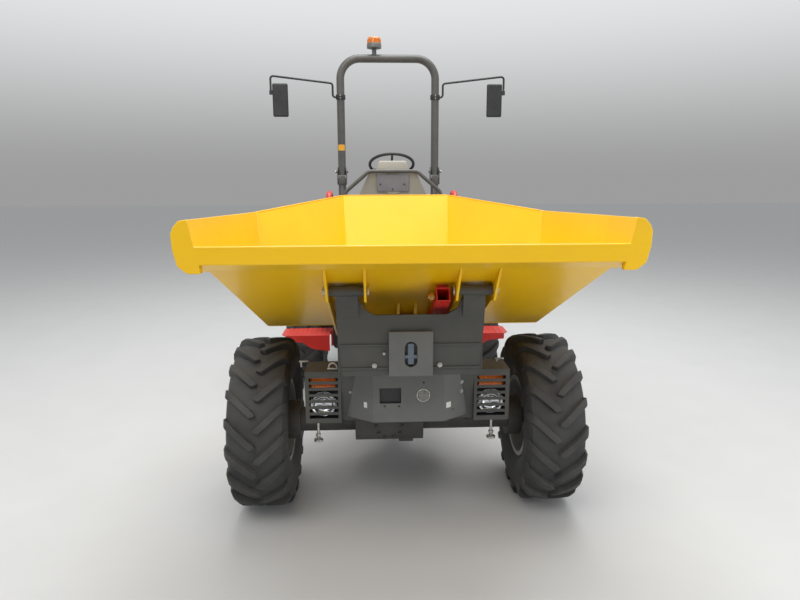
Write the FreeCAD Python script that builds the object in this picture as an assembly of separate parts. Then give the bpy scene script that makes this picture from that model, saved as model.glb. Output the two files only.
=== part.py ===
import FreeCAD, Part
import math
import os
from FreeCAD import Vector

# Articulated site dumper, full size, in millimetres.
# X is to the right seen from in front, +Y runs to the rear, +Z is up.
# The origin lies on the ground, below the middle of the whole machine.
# Longitudinal places are counted from the front axle and moved by front_axle_y.

# Whole machine
front_overhang = 820.0
wheelbase = 2020.0
rear_overhang = 1060.0
overall_length = front_overhang + wheelbase + rear_overhang
front_axle_y = front_overhang - overall_length / 2
rear_axle_y = front_axle_y + wheelbase
tail_place = wheelbase + rear_overhang

# Clearances
seat_gap = 0.3
pin_fit = 0.1
side_play = 2.0

# Tyres and wheels
tyre_radius = 422.5
tyre_width = 285.0
tyre_side_gap = 86.0
lug_pairs = 18
lug_width = 46.0
lug_height = 26.0
lug_rise = 126.0
lug_inner = 5.0
lug_bevel = 14.0
lug_bend = 0.8
tread_half = 112.0
shoulder_half = 138.0
shoulder_drop = 48.0
wall_drop = 96.0
rim_radius = 194.0
rim_width = 228.0
rim_wall = 8.0
rim_flange = 14.0
disc_offset = 40.0
disc_wall = 12.0
hub_radius = 82.0
hub_cap_radius = 62.0
spindle_radius = 40.0
stud_circle = 103.0
stud_count = 6
wheel_hand_holes = 5

# Axles
axle_tube_radius = 62.0
axle_end_radius = 98.0
axle_end_length = 70.0
axle_inner_gap = 12.0
diff_width = 340.0
diff_height = 170.0
diff_depth = 230.0
diff_offset = -80.0
diff_corner = 40.0
axle_pad = 25.0

# Skip: half widths, heights and places from the front axle
skip_wall = 6.0
skip_floor_z = 905.0
skip_floor_front = 50.0
skip_floor_rear = 620.0
skip_floor_half = 690.0
skip_floor_rear_half = 300.0
skip_slope_front = -700.0
skip_slope_front_z = 1300.0
skip_front_half = 808.0
skip_front_top_z = 1490.0
skip_kink_y = 350.0
skip_kink_half = 780.0
skip_kink_z = 1462.0
skip_rear_y = 1050.0
skip_rear_half = 340.0
skip_rear_z = 1535.0
skip_rim_bar = 10.0
skip_rim_height = 38.0

# Front lip of the skip and its end flanges
lip_top_z = 1397.0
lip_band = 66.0
lip_strip = 31.0
lip_depth = 75.0
lip_top_width = 18.0
lip_ramp = 90.0
lip_end_width = 50.0
lip_end_depth = 30.0
lip_end_tuck = 38.0

# Side members of the front frame
member_inner = 215.0
member_outer = 305.0

# Skip pivots, ears and rails below the skip
tip_y = -550.0
tip_z = 1185.0
tip_pin_radius = 15.0
tip_boss_radius = 22.0
ear_wall = 10.0
ear_side_play = 34.0
ear_outer_play = 30.0
ear_inner = member_inner - ear_side_play
ear_outer = member_outer + ear_outer_play
ear_depth = 55.0
rest_channel_y = 500.0
rest_channel_width = 90.0
rest_channel_height = 60.0

# Safety prop stowed below the skip
prop_size = 58.0
prop_wall = 5.0
prop_x = 130.0
prop_length = 520.0
prop_drop = 24.0

# Front frame
plate_y = -520.0
plate_wall = 14.0
trough_z = 1080.0
trough_half = 180.0
trough_corner = 30.0
plate_bottom_z = 850.0
panel_height = 100.0
bulkhead_y = 600.0
bulkhead_wall = 20.0

# Plate for the towing eye in the middle of the front
eye_plate_half = 92.0
eye_plate_top = 1013.0
eye_plate_bottom = 822.0
eye_plate_wall = 16.0
eye_slot_half = 26.0
eye_slot_top = 970.0
eye_slot_bottom = 862.0

# Nose plate between the lamps
nose_y = -390.0
nose_flat_half = 160.0
nose_end_gap = 20.0
nose_half = member_outer - nose_end_gap
nose_side_y = -300.0
nose_top = 780.0
nose_bottom = 552.0
nose_wall = 6.0
nose_flange = 40.0
nose_window_x = -82.0
nose_window_half = 48.0
nose_window_low = 642.0
nose_window_high = 713.0
horn_x = 66.0
horn_z = 678.0
horn_radius = 31.0

# Headlamps and their guards
lamp_half = 84.0
lamp_overlap = 4.0
lamp_x = member_outer + lamp_half - lamp_overlap
tyre_inner = lamp_x + lamp_half + tyre_side_gap
track = 2 * tyre_inner + tyre_width
lamp_low = 530.0
lamp_high = 768.0
lamp_front_y = -330.0
lamp_depth = 150.0
lamp_wall = 5.0
lamp_slots = 7
lamp_slot_height = 16.0
lamp_slot_half = 66.0
lamp_body_depth = 70.0
lamp_body_gap = 26.0

# Articulation between the two frames
lug_wall = 25.0
lug_radius = 75.0
lug_top_z = 725.0
lug_low_z = 420.0
lug_gap = 5.0
pivot_pin_radius = 30.0
pivot_pin_head = 14.0

# Tipping ram, places from the front axle
tip_base_y = 330.0
tip_base_z = 400.0
tip_eye_y = -170.0
tip_eye_z = 935.0
tip_barrel_radius = 55.0
tip_rod_radius = 25.0
tip_ram_eye = 38.0
tip_ram_eye_width = 60.0
tip_ram_neck = 75.0
tip_lug_wall = 16.0
tip_barrel_dead = 100.0
tip_rod_start = 100.0
ram_pin_radius = 15.0

# Steering ram, on the right side
steer_tyre_gap = 135.0
steer_base_x = tyre_inner - steer_tyre_gap
steer_base_back = 620.0
steer_eye_x = 340.0
steer_eye_rear = 140.0
steer_z = 570.0
steer_barrel_radius = 32.0
steer_rod_radius = 15.0
steer_ram_eye = 26.0
steer_ram_eye_width = 36.0
steer_ram_neck = 54.0
steer_lug_wall = 14.0
steer_barrel_length = 505.0
steer_rod_start = 270.0

# Shafts and gearbox
shaft_radius = 32.0
shaft_x = -110.0
shaft_z = 590.0
shaft_room = 15.0
shaft_end_gap = 95.0
flange_radius = 46.0
flange_wall = 14.0

# Rear frame, places from the front axle
rear_plate_x = 235.0
rear_plate_wall = 20.0
rear_frame_front_from_axle = -770.0
rear_frame_front = wheelbase + rear_frame_front_from_axle
rear_frame_low = 450.0
rear_frame_top = 740.0
rear_frame_tail = 90.0
rear_frame_end = tail_place - rear_frame_tail

# Engine, gearbox and tanks
engine_front_from_axle = 670.0
engine_front = wheelbase + engine_front_from_axle
engine_rear_gap = 20.0
engine_length = rear_frame_end - engine_rear_gap - engine_front
engine_half = 200.0
engine_low = 560.0
engine_top = 1130.0
gearbox_front_from_axle = 110.0
gearbox_front = wheelbase + gearbox_front_from_axle
tank_front_from_axle = -735.0
tank_front = wheelbase + tank_front_from_axle
tank_length = 260.0
tank_low = 440.0
tank_width = 190.0

# Operator's platform
floor_z = 760.0
floor_wall = 6.0
floor_front_from_axle = -780.0
floor_front = wheelbase + floor_front_from_axle
floor_tyre_gap = 25.0
floor_half = tyre_inner - floor_tyre_gap
floor_length = 900.0
tread_skirt = 60.0

# Red access steps
step_inner = 460.0
step_outer = 795.0
step_front_from_axle = -870.0
step_front = wheelbase + step_front_from_axle
step_depth = 230.0
step_z = 572.0
step_wall = 6.0
step_inner_drop = 115.0
step_outer_drop = 52.0

# Mudguards
guard_gap = 75.0
guard_wall = 6.0
guard_side = 20.0
guard_inner = tyre_inner - guard_side
guard_cover = 10.0
guard_outer = tyre_inner + tyre_width + guard_cover
guard_front_reach = 430.0
guard_rear_reach = 420.0

# Seat
seat_front_from_axle = 10.0
seat_front = wheelbase + seat_front_from_axle
seat_half = 240.0
seat_base_top = 985.0
seat_base_length = 500.0
cushion_height = 95.0
cushion_length = 430.0
back_thickness = 85.0
back_height = 420.0
back_lean = 60.0

# Console, its hoop, and the steering wheel
console_front_from_axle = -460.0
console_front = wheelbase + console_front_from_axle
console_depth = 170.0
console_top = 1680.0
console_top_half = 175.0
console_wide = 245.0
console_wide_z = 1530.0
console_foot_half = 190.0
console_corner = 18.0
cover_radius = 82.0
cover_z = 1610.0
cover_depth = 12.0
hoop_radius = 14.0
hoop_half = 350.0
hoop_shoulder_z = 1545.0
wheel_radius = 168.0
wheel_grip = 11.0
wheel_y_from_axle = -190.0
wheel_y = wheelbase + wheel_y_from_axle
wheel_z = 1750.0
wheel_tilt = 26.0
column_radius = 22.0

# Grab handles
handle_from_edge = 50.0
handle_x = floor_half - handle_from_edge
handle_y_from_axle = -320.0
handle_y = wheelbase + handle_y_from_axle
handle_length = 220.0
handle_top = 1552.0
handle_radius = 22.0

# Roll-over hoop
rops_y_from_axle = 730.0
rops_y = wheelbase + rops_y_from_axle
rops_half = 425.0
rops_radius = 35.0
rops_top = 2695.0
rops_bend = 175.0
rops_hinge_z = 1710.0
rops_post_top = 1655.0
rops_leg_bottom = 1680.0
rops_foot_z = 560.0
rops_cheek = 8.0
rops_cheek_play = 1.0
rops_pin_radius = 10.0

# Beacon and mirrors
beacon_x = -120.0
beacon_radius = 64.0
beacon_stem = 50.0
beacon_base = 40.0
beacon_dome = 58.0
mirror_x = 955.0
mirror_half = 68.0
mirror_low = 2190.0
mirror_height = 285.0
mirror_depth = 34.0
mirror_arm_radius = 9.0
mirror_setback = 30.0
mirror_clamp_z = 2365.0
mirror_arm_start = 35.0
mirror_arm_gap = 14.0
mirror_arm_bend = 25.0
mirror_arm_low = 2484.0
mirror_arm_high = 2540.0
mirror_grip_z = 2380.0
mirror_grip_height = 36.0

# Bonnet over the engine and the counterweight behind it
bonnet_front_from_axle = 580.0
bonnet_front = wheelbase + bonnet_front_from_axle
bonnet_tail = 40.0
bonnet_rear = tail_place - bonnet_tail
bonnet_half = 360.0
bonnet_low = 868.0
bonnet_top = 1330.0
bonnet_wall = 5.0
bonnet_slope = 70.0
grille_slots = 7
grille_slot_half = 230.0
grille_slot_height = 22.0
side_slots = 6
weight_half = 400.0
weight_gap = 5.0
weight_front = rear_frame_end + weight_gap
clevis_reach = 25.0
weight_rear = tail_place - clevis_reach
weight_low = 450.0
weight_top = 845.0
weight_corner = 30.0
bonnet_hinge_x = 200.0
bonnet_hinge_width = 60.0

# Rear towing clevis
tow_wall = 20.0
tow_gap = 80.0
tow_z = 560.0
tow_half = 45.0
tow_hole = 16.0
tow_setback = 50.0
tow_pocket_wall = 14.0
tow_way = 21.0

# Rear lamps
rear_lamp_x = 330.0
rear_lamp_half = 45.0
rear_lamp_height = 90.0
rear_lamp_z = 720.0
rear_lamp_depth = 22.0

parts_folder = "parts"
reach = 6000.0


# A box from its low and high corner, with its place counted from the front axle.
def block(x0, x1, y0, y1, z0, z1):
    return Part.makeBox(x1 - x0, y1 - y0, z1 - z0, Vector(x0, front_axle_y + y0, z0))


# A rod between two points given as (x, y from the front axle, z).
def rod(start, end, radius):
    a = Vector(start[0], front_axle_y + start[1], start[2])
    b = Vector(end[0], front_axle_y + end[1], end[2])
    return Part.makeCylinder(radius, (b - a).Length, a, b - a)


# A rod along X.
def cross_rod(x0, x1, y, z, radius):
    return rod((x0, y, z), (x1, y, z), radius)


# A profile of (y, z) points, seen from the side, as thick as x0 to x1.
def side_plate(points, x0, x1):
    corners = [Vector(x0, front_axle_y + y, z) for y, z in points]
    return Part.Face(Part.makePolygon(corners + corners[:1])).extrude(Vector(x1 - x0, 0, 0))


# A profile of (x, z) points, seen from in front, as deep as y0 to y1.
def front_plate(points, y0, y1):
    corners = [Vector(x, front_axle_y + y0, z) for x, z in points]
    return Part.Face(Part.makePolygon(corners + corners[:1])).extrude(Vector(0, y1 - y0, 0))


# A profile of (x, y) points, seen from above, as high as z0 to z1.
def plan_plate(points, z0, z1):
    corners = [Vector(x, front_axle_y + y, z0) for x, y in points]
    return Part.Face(Part.makePolygon(corners + corners[:1])).extrude(Vector(0, 0, z1 - z0))


def mirrored(shape):
    return shape.mirror(Vector(0, 0, 0), Vector(1, 0, 0))


def fused(shapes):
    whole = shapes[0]
    for shape in shapes[1:]:
        whole = whole.fuse(shape)
    return whole.removeSplitter()


# The right-hand solid and its mirror image, as two solids that don't touch.
def pair(shape):
    return Part.makeCompound([shape, mirrored(shape)])


# A round bar along straight runs joined by tangent arcs of one radius.
def bent_bar(points, radius, bend):
    route = [Vector(x, front_axle_y + y, z) for x, y, z in points]
    edges = []
    start = route[0]
    for before, corner, after in zip(route, route[1:], route[2:]):
        to_before = (before - corner).normalize()
        to_after = (after - corner).normalize()
        half_angle = to_before.getAngle(to_after) / 2
        setback = bend / math.tan(half_angle)
        arc_start = corner + to_before * setback
        arc_end = corner + to_after * setback
        middle_way = (to_before + to_after).normalize()
        arc_middle = corner + middle_way * (bend / math.sin(half_angle) - bend)
        edges.append(Part.makeLine(start, arc_start))
        edges.append(Part.Arc(arc_start, arc_middle, arc_end).toShape())
        start = arc_end
    edges.append(Part.makeLine(start, route[-1]))
    section = Part.Wire(Part.makeCircle(radius, route[0], route[1] - route[0]))
    return Part.Wire(edges).makePipeShell([section], True, False)


# What is left of a solid on the inner side of a plane through three corners,
# with the plane moved inwards by a shift.
def trimmed(solid, corners, inside, shift):
    a, b, c = corners
    outward = (b - a).cross(c - a).normalize()
    if outward.dot(inside - a) > 0:
        outward = outward * -1
    beyond = Part.makeBox(reach, reach, reach, Vector(-reach / 2, -reach / 2, 0))
    beyond.Placement = FreeCAD.Placement(a - outward * shift, FreeCAD.Rotation(Vector(0, 0, 1), outward))
    return solid.cut(beyond)


# Height of the skip's sloping front panel, underside, at a place along the machine.
def slope_z(y):
    run = skip_floor_front - skip_slope_front
    return skip_slope_front_z - (y - skip_slope_front) * (skip_slope_front_z - skip_floor_z) / run


def skip_point(x, y, z):
    return Vector(x, front_axle_y + y, z)


# The skip's outer form, or its inner form when the walls' thickness is taken off.
def skip_form(shift):
    rim = [
        (-front_overhang, skip_front_top_z),
        (skip_kink_y, skip_kink_z),
        (skip_rear_y, skip_rear_z),
    ]
    outline = [(-front_overhang, skip_floor_z + shift)] + rim + [(skip_rear_y, skip_floor_z + shift)]
    form = side_plate(outline, -skip_front_half * 1.2, skip_front_half * 1.2)
    inside = skip_point(0, (skip_floor_front + skip_floor_rear) / 2, skip_kink_z - skip_wall * 10)
    for side in (-1, 1):
        front_top = skip_point(side * skip_front_half, -front_overhang, skip_front_top_z)
        kink = skip_point(side * skip_kink_half, skip_kink_y, skip_kink_z)
        floor_front = skip_point(side * skip_floor_half, skip_floor_front, skip_floor_z)
        rear_top = skip_point(side * skip_rear_half, skip_rear_y, skip_rear_z)
        floor_rear = skip_point(side * skip_floor_rear_half, skip_floor_rear, skip_floor_z)
        form = trimmed(form, (front_top, kink, floor_front), inside, shift)
        form = trimmed(form, (kink, rear_top, floor_rear), inside, shift)
    rear_panel = (
        skip_point(-skip_rear_half, skip_rear_y, skip_rear_z),
        skip_point(skip_rear_half, skip_rear_y, skip_rear_z),
        skip_point(0, skip_floor_rear, skip_floor_z),
    )
    front_panel = (
        skip_point(-skip_floor_half, skip_floor_front, skip_floor_z),
        skip_point(skip_floor_half, skip_floor_front, skip_floor_z),
        skip_point(0, skip_slope_front, skip_slope_front_z),
    )
    form = trimmed(form, rear_panel, inside, shift)
    return trimmed(form, front_panel, inside, shift)


def lip_profile():
    front = -front_overhang
    ramp_foot = front + lip_depth + lip_ramp
    return [
        (front, lip_top_z),
        (front, lip_top_z - lip_band),
        (front + lip_depth, lip_top_z - lip_band - lip_strip),
        (front + lip_depth, slope_z(front + lip_depth) + skip_wall),
        (ramp_foot, slope_z(ramp_foot) + skip_wall + 1),
        (front + lip_top_width, lip_top_z),
    ]


# Closed box section along the skip's front edge, with a flange at each end.
def skip_lip():
    bar = side_plate(lip_profile(), -skip_front_half, skip_front_half)
    inner = skip_front_half - skip_wall
    outer = skip_front_half + lip_end_width
    middle_z = (skip_front_top_z + lip_top_z) / 2
    low_z = lip_top_z - lip_band - lip_strip
    flange = front_plate([
        (inner, skip_front_top_z + 2),
        (inner + lip_end_width * 0.6, skip_front_top_z - 2),
        (outer - 6, skip_front_top_z - 24),
        (outer + 4, middle_z),
        (outer + 2, lip_top_z - 10),
        (outer - 12, lip_top_z - lip_band - 4),
        (inner + 10, low_z),
        (inner - lip_end_tuck, low_z),
    ], -front_overhang, -front_overhang + lip_end_depth)
    return fused([bar, flange, mirrored(flange)])


# Hollow tub with a flat bar along its rim outside.
def skip_tub():
    outer = skip_form(0)
    wide = skip_form(-skip_rim_bar)
    low_wide = wide.copy()
    low_wide.translate(Vector(0, 0, -skip_rim_height))
    rim_bar = wide.cut(low_wide)
    tub = outer.fuse(rim_bar).cut(skip_form(skip_wall))
    ahead = block(-reach / 2, reach / 2, -reach / 2, -front_overhang + lip_end_depth, 0, reach)
    return tub.cut(ahead).cut(skip_lip()).removeSplitter()


# Ears round the tip pins, running back as rails below the skip, a cross channel
# that rests on the frame, and the two lugs for the tipping ram.
def skip_rails():
    edge = tip_boss_radius + 26
    outline = [
        (tip_y - 150, slope_z(tip_y - 150) + skip_wall),
        (tip_y - edge, tip_z - 4),
        (tip_y - edge * 0.5, tip_z - edge * 0.85),
        (tip_y + edge * 0.6, tip_z - edge * 1.05),
        (skip_floor_front, skip_floor_z - ear_depth),
        (skip_floor_rear - 40, skip_floor_z - ear_depth),
        (skip_floor_rear, skip_floor_z + skip_wall),
    ]
    plates = []
    for x in (ear_inner, ear_outer):
        plates.append(side_plate(outline + [(skip_floor_front, skip_floor_z + skip_wall)], x, x + ear_wall))
    right = fused(plates).cut(cross_rod(0, reach, tip_y, tip_z, tip_pin_radius + pin_fit))
    channel_half = ear_outer + ear_wall
    channel = block(-channel_half, channel_half, rest_channel_y, rest_channel_y + rest_channel_width,
                    skip_floor_z - rest_channel_height, skip_floor_z)
    lugs = []
    lug_in = tip_ram_eye_width / 2 + side_play
    for side in (-1, 1):
        lug = side_plate([
            (tip_eye_y - 110, slope_z(tip_eye_y - 110) + skip_wall),
            (tip_eye_y - tip_ram_eye, tip_eye_z - 20),
            (tip_eye_y + tip_ram_eye, tip_eye_z - 30),
            (tip_eye_y + 110, slope_z(tip_eye_y + 110) + skip_wall),
        ], lug_in if side > 0 else -lug_in - ear_wall * 1.5, lug_in + ear_wall * 1.5 if side > 0 else -lug_in)
        lugs.append(lug)
    tie = block(-ear_inner, ear_inner, tip_eye_y + 82, tip_eye_y + 94, slope_z(tip_eye_y + 82) - 70,
                slope_z(tip_eye_y) + skip_wall)
    solid = fused([right, mirrored(right), channel, tie] + lugs)
    return solid.cut(skip_form(0)).cut(skip_lip())


# Square tube for propping the raised skip, stowed on its two cleats.
def skip_prop():
    slope = math.atan((skip_slope_front_z - skip_floor_z) / (skip_floor_front - skip_slope_front))
    tube = Part.makeBox(prop_size, prop_length, prop_size, Vector(-prop_size / 2, 0, -prop_size))
    inner = prop_size - 2 * prop_wall
    bore = Part.makeBox(inner, prop_length, inner, Vector(-inner / 2, 0, -prop_wall - inner))
    solid = tube.cut(bore)
    for y in (40.0, prop_length - 90.0):
        cleat = Part.makeBox(prop_size - 14, 40, prop_drop, Vector(-(prop_size - 14) / 2, y, 0))
        solid = solid.fuse(cleat)
    front = tip_y + 5
    turn = FreeCAD.Rotation(Vector(1, 0, 0), -math.degrees(slope))
    normal = Vector(0, math.sin(slope), math.cos(slope))
    base = Vector(prop_x, front_axle_y + front, slope_z(front)) - normal * prop_drop
    solid.Placement = FreeCAD.Placement(base, turn)
    return solid.removeSplitter()


# Side member of the front frame, from the tip boss down over the axle to the rear.
def member_outline():
    axle_top = axle_seat()
    return [
        (tip_y - 8, tip_z - 18),
        (tip_y - 4, trough_z + 30),
        (plate_y, trough_z - 40),
        (plate_y, plate_bottom_z - 20),
        (nose_side_y - 40, plate_bottom_z - 45),
        (nose_side_y, nose_bottom - 20),
        (-axle_tube_radius - 90, axle_top),
        (axle_tube_radius + 90, axle_top),
        (axle_tube_radius + 110, tip_base_z - 55),
        (tip_base_y + 70, tip_base_z - 55),
        (bulkhead_y, lug_low_z - 20),
        (bulkhead_y, lug_top_z + 75),
        (0, 830),
        (-250, 900),
        (plate_y + 90, trough_z - 10),
        (tip_y + 22, tip_z),
    ]


def front_frame():
    pieces = []
    for side in (-1, 1):
        low, high = sorted((side * member_inner, side * member_outer))
        pieces.append(side_plate(member_outline(), low, high))
        low, high = sorted((side * (ear_inner + ear_wall + side_play), side * (ear_outer - side_play)))
        pieces.append(cross_rod(low, high, tip_y, tip_z, tip_boss_radius))
    outer = member_outer
    sheet = front_plate([
        (-outer - 5, tip_z - 45), (-outer, trough_z - 60), (-outer + 20, plate_bottom_z - 30),
        (outer - 20, plate_bottom_z - 30), (outer, trough_z - 60), (outer + 5, tip_z - 45),
        (member_inner - 5, tip_z - 45), (trough_half + 14, trough_z + 25),
        (trough_half - trough_corner, trough_z),
        (-trough_half + trough_corner, trough_z), (-trough_half - 14, trough_z + 25),
        (-member_inner + 5, tip_z - 45),
    ], plate_y - plate_wall, plate_y)
    pieces.append(sheet)
    for z in (plate_bottom_z, plate_bottom_z + panel_height):
        pieces.append(block(-outer + 14, outer - 14, plate_y - plate_wall - 8, plate_y, z, z + 7))
    pieces.append(block(-member_outer, member_outer, bulkhead_y - bulkhead_wall, bulkhead_y,
                        lug_low_z - 20, lug_top_z + 75))
    for z in (lug_low_z, lug_top_z - lug_wall):
        pieces.append(yoke_plate(bulkhead_y - bulkhead_wall, z, member_outer * 0.8))
    for z in (tip_base_z - 55, tip_base_z + 120):
        pieces.append(block(-member_inner - 20, member_inner + 20, tip_base_y + 90, tip_base_y + 110, z,
                            z + 90))
    pieces.append(block(-member_inner - 20, member_inner + 20, tip_base_y + 50, tip_base_y + 110,
                        tip_base_z - 55, tip_base_z - 30))
    lug_in = tip_ram_eye_width / 2 + side_play
    for side in (-1, 1):
        low, high = sorted((side * lug_in, side * (lug_in + tip_lug_wall)))
        pieces.append(block(low, high, tip_base_y - 45, tip_base_y + 95, tip_base_z - 50, tip_base_z + 45))
        low, high = sorted((side * member_inner, side * member_outer))
        pieces.append(block(low, high, rest_channel_y, rest_channel_y + rest_channel_width,
                            lug_top_z + 20, skip_floor_z - rest_channel_height - seat_gap))
    base_y = wheelbase / 2 - steer_base_back
    for z in steer_lug_levels():
        pieces.append(block(member_outer - 10, steer_base_x + 30, base_y - 40, base_y + 30, z,
                            z + steer_lug_wall))
    pieces.append(lamp_bracket(1))
    pieces.append(lamp_bracket(-1))
    frame = fused(pieces)
    frame = frame.cut(cross_rod(-reach, reach, tip_y, tip_z, tip_pin_radius + pin_fit))
    frame = frame.cut(rod((0, wheelbase / 2, 0), (0, wheelbase / 2, reach), pivot_pin_radius + pin_fit))
    frame = frame.cut(cross_rod(-member_inner, member_inner, tip_base_y, tip_base_z,
                                ram_pin_radius + pin_fit))
    steer_pin = rod((steer_base_x, base_y, 0), (steer_base_x, base_y, reach), ram_pin_radius + pin_fit)
    return frame.cut(steer_pin).cut(shaft_way())


# The two levels of the lugs that hold an eye of the steering ram.
def steer_lug_levels():
    low = steer_z - steer_ram_eye_width / 2 - side_play
    return low - steer_lug_wall, low + steer_ram_eye_width + 2 * side_play


# The room that the drive shaft needs through the frames.
def shaft_way():
    room = shaft_radius + shaft_room
    front = rod((shaft_x, diff_depth / 2, tyre_radius + 30), (shaft_x, wheelbase / 2, shaft_z), room)
    return front.fuse(rod((shaft_x, wheelbase / 2, shaft_z), (shaft_x, gearbox_front - 30, shaft_z), room))


# Shelf that carries a lamp guard beside the front frame.
def lamp_bracket(side):
    low, high = sorted((side * (member_outer - 10), side * (lamp_x + lamp_half)))
    back = lamp_front_y + lamp_depth
    shelf = block(low, high, lamp_front_y, back + 16, lamp_high, lamp_high + 8)
    return shelf.fuse(block(low, high, back, back + 8, lamp_high - 90, lamp_high + 8))


# Flat lug that narrows from a bulkhead to a round end at the articulation pin.
def yoke_plate(wall_y, z, half):
    centre = wheelbase / 2
    towards = 1 if wall_y < centre else -1
    body = plan_plate([
        (-half, wall_y), (half, wall_y),
        (lug_radius, centre - towards * lug_radius * 0.2), (-lug_radius, centre - towards * lug_radius * 0.2),
    ], z, z + lug_wall)
    return body.fuse(rod((0, centre, z), (0, centre, z + lug_wall), lug_radius))


# Plate with a standing slot for the towing eye, bolted to the front sheet.
def eye_plate():
    y = plate_y - plate_wall - 8
    plate = block(-eye_plate_half, eye_plate_half, y - eye_plate_wall, y, eye_plate_bottom, eye_plate_top)
    slot = block(-eye_slot_half, eye_slot_half, y - eye_plate_wall, y,
                 eye_slot_bottom + eye_slot_half, eye_slot_top - eye_slot_half)
    for z in (eye_slot_bottom + eye_slot_half, eye_slot_top - eye_slot_half):
        slot = slot.fuse(rod((0, y - eye_plate_wall, z), (0, y, z), eye_slot_half))
    return plate.cut(slot).removeSplitter()


# Bent sheet between the lamps, with a window and the horn's opening.
def nose_plate():
    flat, half, wall = nose_flat_half, nose_half, nose_wall
    side = nose_side_y
    sheet = plan_plate([
        (-flat, nose_y), (flat, nose_y), (half, side), (half, side + nose_flange),
        (half - wall, side + nose_flange), (half - wall, side + wall / 2), (flat - wall / 2, nose_y + wall),
        (-flat + wall / 2, nose_y + wall), (-half + wall, side + wall / 2),
        (-half + wall, side + nose_flange), (-half, side + nose_flange), (-half, side),
    ], nose_bottom, nose_top)
    ledges = []
    for z in (nose_bottom, nose_top - wall):
        ledges.append(plan_plate([
            (-flat, nose_y), (flat, nose_y), (half, side), (half, side + nose_flange * 0.5),
            (-half, side + nose_flange * 0.5), (-half, side),
        ], z, z + wall))
    solid = fused([sheet] + ledges)
    for side in (-1, 1):
        low, high = sorted((side * member_inner, side * member_outer))
        solid = solid.cut(side_plate(member_outline(), low, high))
    window = block(nose_window_x - nose_window_half, nose_window_x + nose_window_half, nose_y - 1,
                   nose_y + wall + 1, nose_window_low, nose_window_high)
    horn_hole = rod((horn_x, nose_y - 1, horn_z), (horn_x, nose_y + wall + 1, horn_z), horn_radius)
    return solid.cut(window).cut(horn_hole)


# Boxes round the headlamps, with level slots in front, open behind.
def lamp_guard():
    back = lamp_front_y + lamp_depth
    x0, x1 = lamp_x - lamp_half, lamp_x + lamp_half
    shell = block(x0, x1, lamp_front_y, back, lamp_low, lamp_high)
    hollow = block(x0 + lamp_wall, x1 - lamp_wall, lamp_front_y + lamp_wall, back,
                   lamp_low + lamp_wall, lamp_high - lamp_wall)
    shell = shell.cut(hollow)
    pitch = (lamp_high - lamp_low - 2 * lamp_slot_height) / lamp_slots
    for index in range(lamp_slots):
        z = lamp_low + lamp_slot_height + pitch * index + (pitch - lamp_slot_height) / 2
        shell = shell.cut(block(lamp_x - lamp_slot_half, lamp_x + lamp_slot_half, lamp_front_y,
                                lamp_front_y + lamp_wall, z, z + lamp_slot_height))
    return shell.cut(block(0, member_outer, -reach / 2, 0, 0, reach))


def headlamp():
    y = lamp_front_y + lamp_body_gap
    inset = lamp_wall + 8
    body = block(lamp_x - lamp_half + inset, lamp_x + lamp_half - inset, y, y + lamp_body_depth,
                 lamp_low + inset, lamp_high - inset)
    stalk = block(lamp_x - 20, lamp_x + 20, y + lamp_body_depth, lamp_front_y + lamp_depth,
                  lamp_high - 80, lamp_high - 50)
    return body.fuse(stalk)


# Height at which the frames sit on the axles' pads.
def axle_seat():
    return tyre_radius + axle_tube_radius + axle_pad


# Rigid axle: tubes, round ends with the spindles, and the housing in the middle.
def axle(y, housing_x):
    wheel_x = track / 2
    spindle_end = wheel_x + disc_offset + disc_wall + 30
    tube_end = wheel_x - rim_width / 2 + axle_inner_gap
    pieces = [cross_rod(-tube_end, tube_end, y, tyre_radius, axle_tube_radius)]
    pieces.append(cross_rod(-spindle_end, spindle_end, y, tyre_radius, spindle_radius))
    housing = block(housing_x - diff_width / 2, housing_x + diff_width / 2, y - diff_depth / 2,
                    y + diff_depth / 2, tyre_radius - diff_height / 2, tyre_radius + diff_height / 2)
    along = [edge for edge in housing.Edges if abs(edge.tangentAt(0).x) > 0.9]
    pieces.append(housing.makeFillet(diff_corner, along))
    for side in (-1, 1):
        ends = sorted((side * (tube_end - axle_end_length), side * tube_end))
        pieces.append(cross_rod(ends[0], ends[1], y, tyre_radius, axle_end_radius))
        ends = sorted((side * member_inner, side * member_outer))
        pieces.append(block(ends[0], ends[1], y - axle_tube_radius - 20, y + axle_tube_radius + 20,
                            tyre_radius, axle_seat()))
    return fused(pieces)


def tip_pins():
    head = 8.0
    pieces = []
    for side in (-1, 1):
        inner, outer = ear_inner - side_play, ear_outer + ear_wall + side_play
        pin = cross_rod(side * inner, side * outer, tip_y, tip_z, tip_pin_radius)
        for x in (inner - head, outer):
            pin = pin.fuse(cross_rod(side * x, side * (x + head), tip_y, tip_z, tip_pin_radius + 5))
        pieces.append(pin)
    low = lug_low_z - seat_gap
    high = lug_top_z + seat_gap
    centre = wheelbase / 2
    pin = rod((0, centre, low), (0, centre, high), pivot_pin_radius)
    for z in (low - pivot_pin_head, high):
        pin = pin.fuse(rod((0, centre, z), (0, centre, z + pivot_pin_head), pivot_pin_radius + 14))
    return Part.makeCompound(pieces + [pin])


# Where a ram has a point, counted from its base eye towards its rod eye.
def ram_point(base, eye, distance):
    spot = Vector(*base) + (Vector(*eye) - Vector(*base)).normalize() * distance
    return (spot.x, spot.y, spot.z)


# A round piece across a ram, centred on one of its eyes.
def ram_cross(centre, across, width, radius):
    half = Vector(*across) * (width / 2)
    return rod(tuple(Vector(*centre) - half), tuple(Vector(*centre) + half), radius)


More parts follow.
